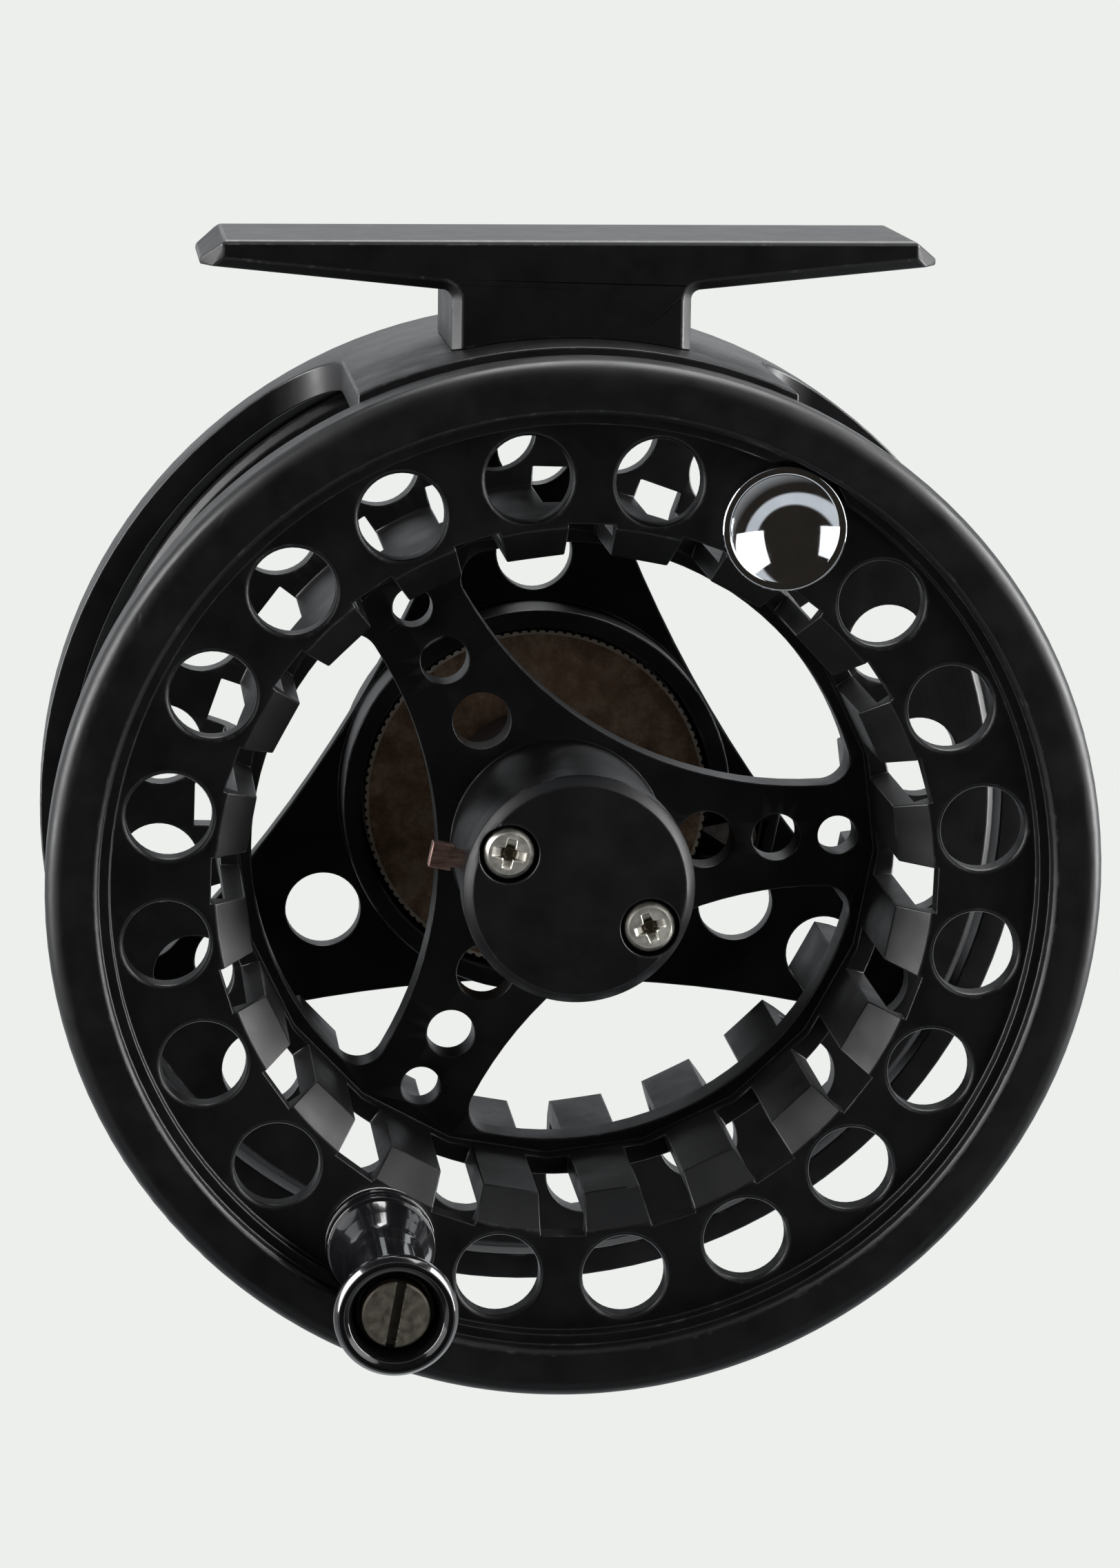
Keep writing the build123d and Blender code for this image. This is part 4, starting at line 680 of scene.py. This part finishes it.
grip_profile = rounded_profile(GRIP) * MM
grip_rings = spin(grip_profile, centre_of("handle_knob"))
angles, across = grip_rings.shape[1], grip_rings.shape[0] - 1
ring = np.arange(across)[:, None] * angles
next_ring = np.roll(ring, -1, axis=0)
column = np.arange(angles)
ahead = (column + 1) % angles
grip_faces = np.stack([ring + column, next_ring + column, next_ring + ahead, ring + ahead], -1)
grip_points = grip_rings[:-1].reshape(-1, 3)
grip_mesh = faced_outward("handle_grip", grip_points, grip_faces.reshape(-1, 4).tolist())
grip_mesh.set_sharp_from_angle(angle=math.radians(40))
grip_mesh.materials.append(HANDLE_GLOSS)
grip = linked("handle_grip", grip_mesh)
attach(grip, BODY_OF["handle_knob"])
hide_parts("handle_knob")
print("handle_grip made:", len(grip_mesh.vertices), "points")

# %% [markdown]
# The counterweight balances the handle. It is a chromed button with a polished dish, which works as
# a small concave mirror: it shows the dark side of the room, an arc of the ring of light and two of
# the lamps.

# %% Counterweight
weight_low, weight_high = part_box("counterweight")
WEIGHT_RADIUS = (weight_high.x - weight_low.x) / 2 / MM
FACE, TAIL = weight_low.y / MM, weight_high.y / MM
LIP_WIDTH = 0.55
DISH_MOUTH = WEIGHT_RADIUS - LIP_WIDTH
DISH_DEPTH = 1.6
BUTTON_DEPTH = 1.9
STUD_RADIUS = 1.6
BUTTON_REAR = FACE + BUTTON_DEPTH
dish_radius = np.linspace(0, DISH_MOUTH, 28)
dish = np.column_stack([dish_radius, FACE + DISH_DEPTH * (1 - (dish_radius / DISH_MOUTH) ** 2)])
lip = rounded_profile(
    [
        (DISH_MOUTH, FACE, 0), (DISH_MOUTH + 0.12, FACE, 0.05), (WEIGHT_RADIUS, FACE, 0.25),
        (WEIGHT_RADIUS, BUTTON_REAR, 0), (STUD_RADIUS, BUTTON_REAR, 0), (STUD_RADIUS, TAIL, 0),
        (0, TAIL, 0),
    ]
)
weight_profile = np.concatenate([dish, lip[1:]]) * MM
weight = mesh_from_rings(
    "chrome_counterweight",
    spin(weight_profile, centre_of("counterweight")),
    CHROME,
    "counterweight",
)
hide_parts("counterweight")
weight.data.set_sharp_from_angle(angle=math.radians(50))

# %% [markdown]
# Screw heads are height fields: on a grid of rings and angles the depth is a slight dome, plus the
# cut for the driver. A cross recess is where one of two turned coordinates is small and the other
# short, and a slot is where one is small. The cut's depth is kept as an attribute, so the finish
# can paint shade into the bottom of the cut, a darker colour standing in for shadow.

# %% Screw heads
FLAT_RINGS, EDGE_RINGS, HEAD_ANGLES = 44, 8, 216
EDGE_START = 0.1      # radians into the rounded edge where its rings begin
EDGE_FALL = 0.8       # the rounded edge's depth, as a share of its width
HEAD_SHARP = math.radians(50)


def step_down(value, edge, blur):
    """1 below the edge, 0 above it, with a smooth slope of a given width."""
    share = np.clip((edge + blur / 2 - value) / blur, 0, 1)
    return share * share * (3 - 2 * share)


def screw_head(name, place, radius, depths, shank, cut, material, node, dome=0.1, edge=0.35):
    """A turned head with a dome, whose front is sunk by the cut, a function of two coordinates.

    The depths are those of its front, the head's rear and the shank's tip, in millimetres.
    """
    front, rear, tip = depths
    bend = np.linspace(EDGE_START, np.pi / 2, EDGE_RINGS)
    flat_steps = np.linspace(0, radius - edge, FLAT_RINGS)
    steps = np.concatenate([flat_steps, radius - edge * np.cos(bend)])
    fall = np.linspace(np.pi / 2 - EDGE_START, 0, EDGE_RINGS)
    round_off = np.zeros(len(steps))
    round_off[FLAT_RINGS:] = edge * EDGE_FALL * (1 - np.sin(fall))
    angle = np.linspace(0, 2 * np.pi, HEAD_ANGLES, endpoint=False)
    u = steps[:, None] * np.cos(angle)
    v = steps[:, None] * np.sin(angle)
    sunk = cut(u, v)
    depth = front + dome * (steps[:, None] / radius) ** 2 + round_off[:, None] + sunk
    tail_radius = np.array([radius, shank, shank, 0.0])[:, None] + 0 * angle
    tail_depth = np.array([rear, rear, tip, tip])[:, None] + 0 * angle
    all_u = np.concatenate([u, tail_radius * np.cos(angle)])
    all_v = np.concatenate([v, tail_radius * np.sin(angle)])
    all_depth = np.concatenate([np.minimum(depth, rear), tail_depth])
    rings = np.stack([place[0] + all_u * MM, all_depth * MM, place[1] + all_v * MM], -1)
    # The cut's depth, kept so that the finish can paint shade into the bottom of the cut.
    shade_depth = np.concatenate([sunk, np.zeros_like(tail_depth)])
    piece = mesh_from_rings(name, rings, material, node, shade_depth)
    piece.data.set_sharp_from_angle(angle=HEAD_SHARP)
    return piece


def plated(name, colours, rough, recess_shade):
    """Plated metal with cloudy tone and uneven roughness, and painted shade darkening the bottom of
    the driver's cut.
    """
    material, tree, shader, place = start_finish(name)
    shader.inputs["Metallic"].default_value = 1.0
    tone = cloud(tree, place, 1400, 5, 0.65)
    plate = ramp(tree, tone, [(0.3, colours[0]), (0.7, colours[1])])
    # Painted shade: the plate colour blends toward a dark colour where the cut is deep.
    cut = tree.nodes.new("ShaderNodeAttribute")
    cut.attribute_name = "recess"
    painted_shade_amount = spread(tree, cut.outputs["Fac"], 0.0, 1.0, 0.05, 0.6)
    tree.links.new(blend(tree, painted_shade_amount, plate, recess_shade), shader.inputs["Base Color"])
    tree.links.new(spread(tree, tone, *rough), shader.inputs["Roughness"])
    tree.links.new(bump(tree, tone, 0.02), shader.inputs["Normal"])
    return material


# The second colour of each pair is painted shade for the bottom of the driver's cut.
SCREW_TONES, SCREW_CUT_SHADE = ((0.72, 0.69, 0.60), (0.96, 0.93, 0.85)), (0.10, 0.08, 0.055)
BOLT_TONES, BOLT_CUT_SHADE = ((0.24, 0.215, 0.18), (0.42, 0.38, 0.31)), (0.03, 0.026, 0.022)

SCREW_PLATE = plated("screw_nickel", SCREW_TONES, (0.38, 0.54), SCREW_CUT_SHADE)
HANDLE_PLATE = plated("handle_screw_plate", BOLT_TONES, (0.42, 0.58), BOLT_CUT_SHADE)

WEAR = 0.06
ARM_HALF, ARM_REACH, ARM_DEPTH = 0.36, 1.22, 0.45
PIT_RADIUS, PIT_DEPTH = 0.55, 0.3


def cross_cut(turn, seed):
    """A worn cross recess at a turn in radians: tapered arms and a pit at the middle."""
    wear = np.random.default_rng(seed).uniform(-WEAR, WEAR, 4)

    def cut(u, v):
        p = u * np.cos(turn) + v * np.sin(turn)
        q = v * np.cos(turn) - u * np.sin(turn)
        narrow = np.minimum(abs(p), abs(q))
        far = np.maximum(abs(p), abs(q))
        across_lean = np.where(p > 0, wear[0], wear[1])
        upright_lean = np.where(q > 0, wear[2], wear[3])
        lean = np.where(abs(p) > abs(q), across_lean, upright_lean)
        sides = step_down(narrow, ARM_HALF + lean, 0.16)
        ends = step_down(far, ARM_REACH + 2 * lean, 0.3)
        pit = step_down(np.hypot(u, v), PIT_RADIUS, 0.5)
        return ARM_DEPTH * (sides * ends) * np.clip(1.5 - far, 0.3, 1) + PIT_DEPTH * pit

    return cut


cap_low, cap_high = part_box("cap_screws")
CAP_FRONT, CAP_REAR = cap_low.y / MM, cap_high.y / MM
HEAD_RADIUS, HEAD_DEPTH, SHANK_RADIUS = 2.05, 1.3, 1.0
FIRST_TURN, TURN_APART, FIRST_SEED = -12, 31, 5
screw_reach = (cap_high.x - cap_low.x) / 2 - HEAD_RADIUS * MM
screw_rise = (cap_high.z - cap_low.z) / 2 - HEAD_RADIUS * MM
for number, side in enumerate((1, -1)):
    spot = (AXIS_X - side * screw_reach, AXIS_Z + side * screw_rise)
    cross = cross_cut(math.radians(FIRST_TURN + TURN_APART * number), FIRST_SEED + number)
    head = screw_head(
        f"cap_screw_{number + 1}", spot, HEAD_RADIUS, (CAP_FRONT, CAP_FRONT + HEAD_DEPTH, CAP_REAR),
        SHANK_RADIUS, cross, SCREW_PLATE, "cap_screws",
    )
    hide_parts("cap_screws")

SLOT_TURN = math.radians(80)
SLOT_HALF, SLOT_DEPTH = 0.35, 0.5
BOLT_HEAD_DEPTH, BOLT_SHANK = 1.2, 0.9


def slot_cut(u, v):
    """A straight slot: sunk where the distance from its middle line is small."""
    away = abs(v * np.cos(SLOT_TURN) - u * np.sin(SLOT_TURN))
    return SLOT_DEPTH * step_down(away, SLOT_HALF, 0.06)


bolt_low, bolt_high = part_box("handle_screw")
BOLT_FRONT, BOLT_TIP = bolt_low.y / MM, bolt_high.y / MM
bolt = screw_head(
    "handle_slotted_screw", centre_of("handle_screw"), (bolt_high.x - bolt_low.x) / 2 / MM,
    (BOLT_FRONT, BOLT_FRONT + BOLT_HEAD_DEPTH, BOLT_TIP), BOLT_SHANK, slot_cut, HANDLE_PLATE,
    "handle_screw", dome=0.0, edge=0.15,
)
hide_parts("handle_screw")

# %% [markdown]
# The drag's dished springs flatten as the nut moves forward. Here a copy of their mesh, with its
# loose triangles merged, rides on the springs' body and keeps its shape.

# %% Drag springs
spring_shape = bmesh.new()
spring_shape.from_mesh(NODES["drag_springs"].data)
bmesh.ops.remove_doubles(spring_shape, verts=spring_shape.verts, dist=MERGE)
spring_mesh = bpy.data.meshes.new("drag_spring_rings")
spring_shape.to_mesh(spring_mesh)
spring_shape.free()
spring_mesh.materials.append(SPRING)
spring_rings = linked("drag_spring_rings", spring_mesh)
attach(spring_rings, BODY_OF["drag_springs"])
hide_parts("drag_springs")
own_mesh(spring_rings)

# %% [markdown]
# What is left of the engineering model is already the right shape: bearings, springs, washers, the
# drag disc with its fine teeth. Each of these keeps its mesh and takes a finish.

# %% Finishes for the pieces that stay
FINISH_OF_SLOT = {
    "frame_black": FRAME_SKIN,
    "foot_black": FOOT_SKIN,
    "spool_black": SPOOL_SKIN,
    "cap_black": CAP_SKIN,
    "knob_black": CAP_SKIN,
    "nickel": NICKEL,
    "bright_chrome": CHROME,
    "steel": STEEL,
    "spring_steel": SPRING,
    "dull_bronze": DULL_BRONZE,
    "copper": COPPER,
    "disc_bronze": DISC_BRONZE,
    "handle_gloss": HANDLE_GLOSS,
    "acetal": ACETAL,
    "friction": FRICTION,
}
for node, thing in NODES.items():
    for place in thing.material_slots:
        place.material = FINISH_OF_SLOT[SLOT_OF[node]]
print("finished", len(NODES), "engineering pieces")
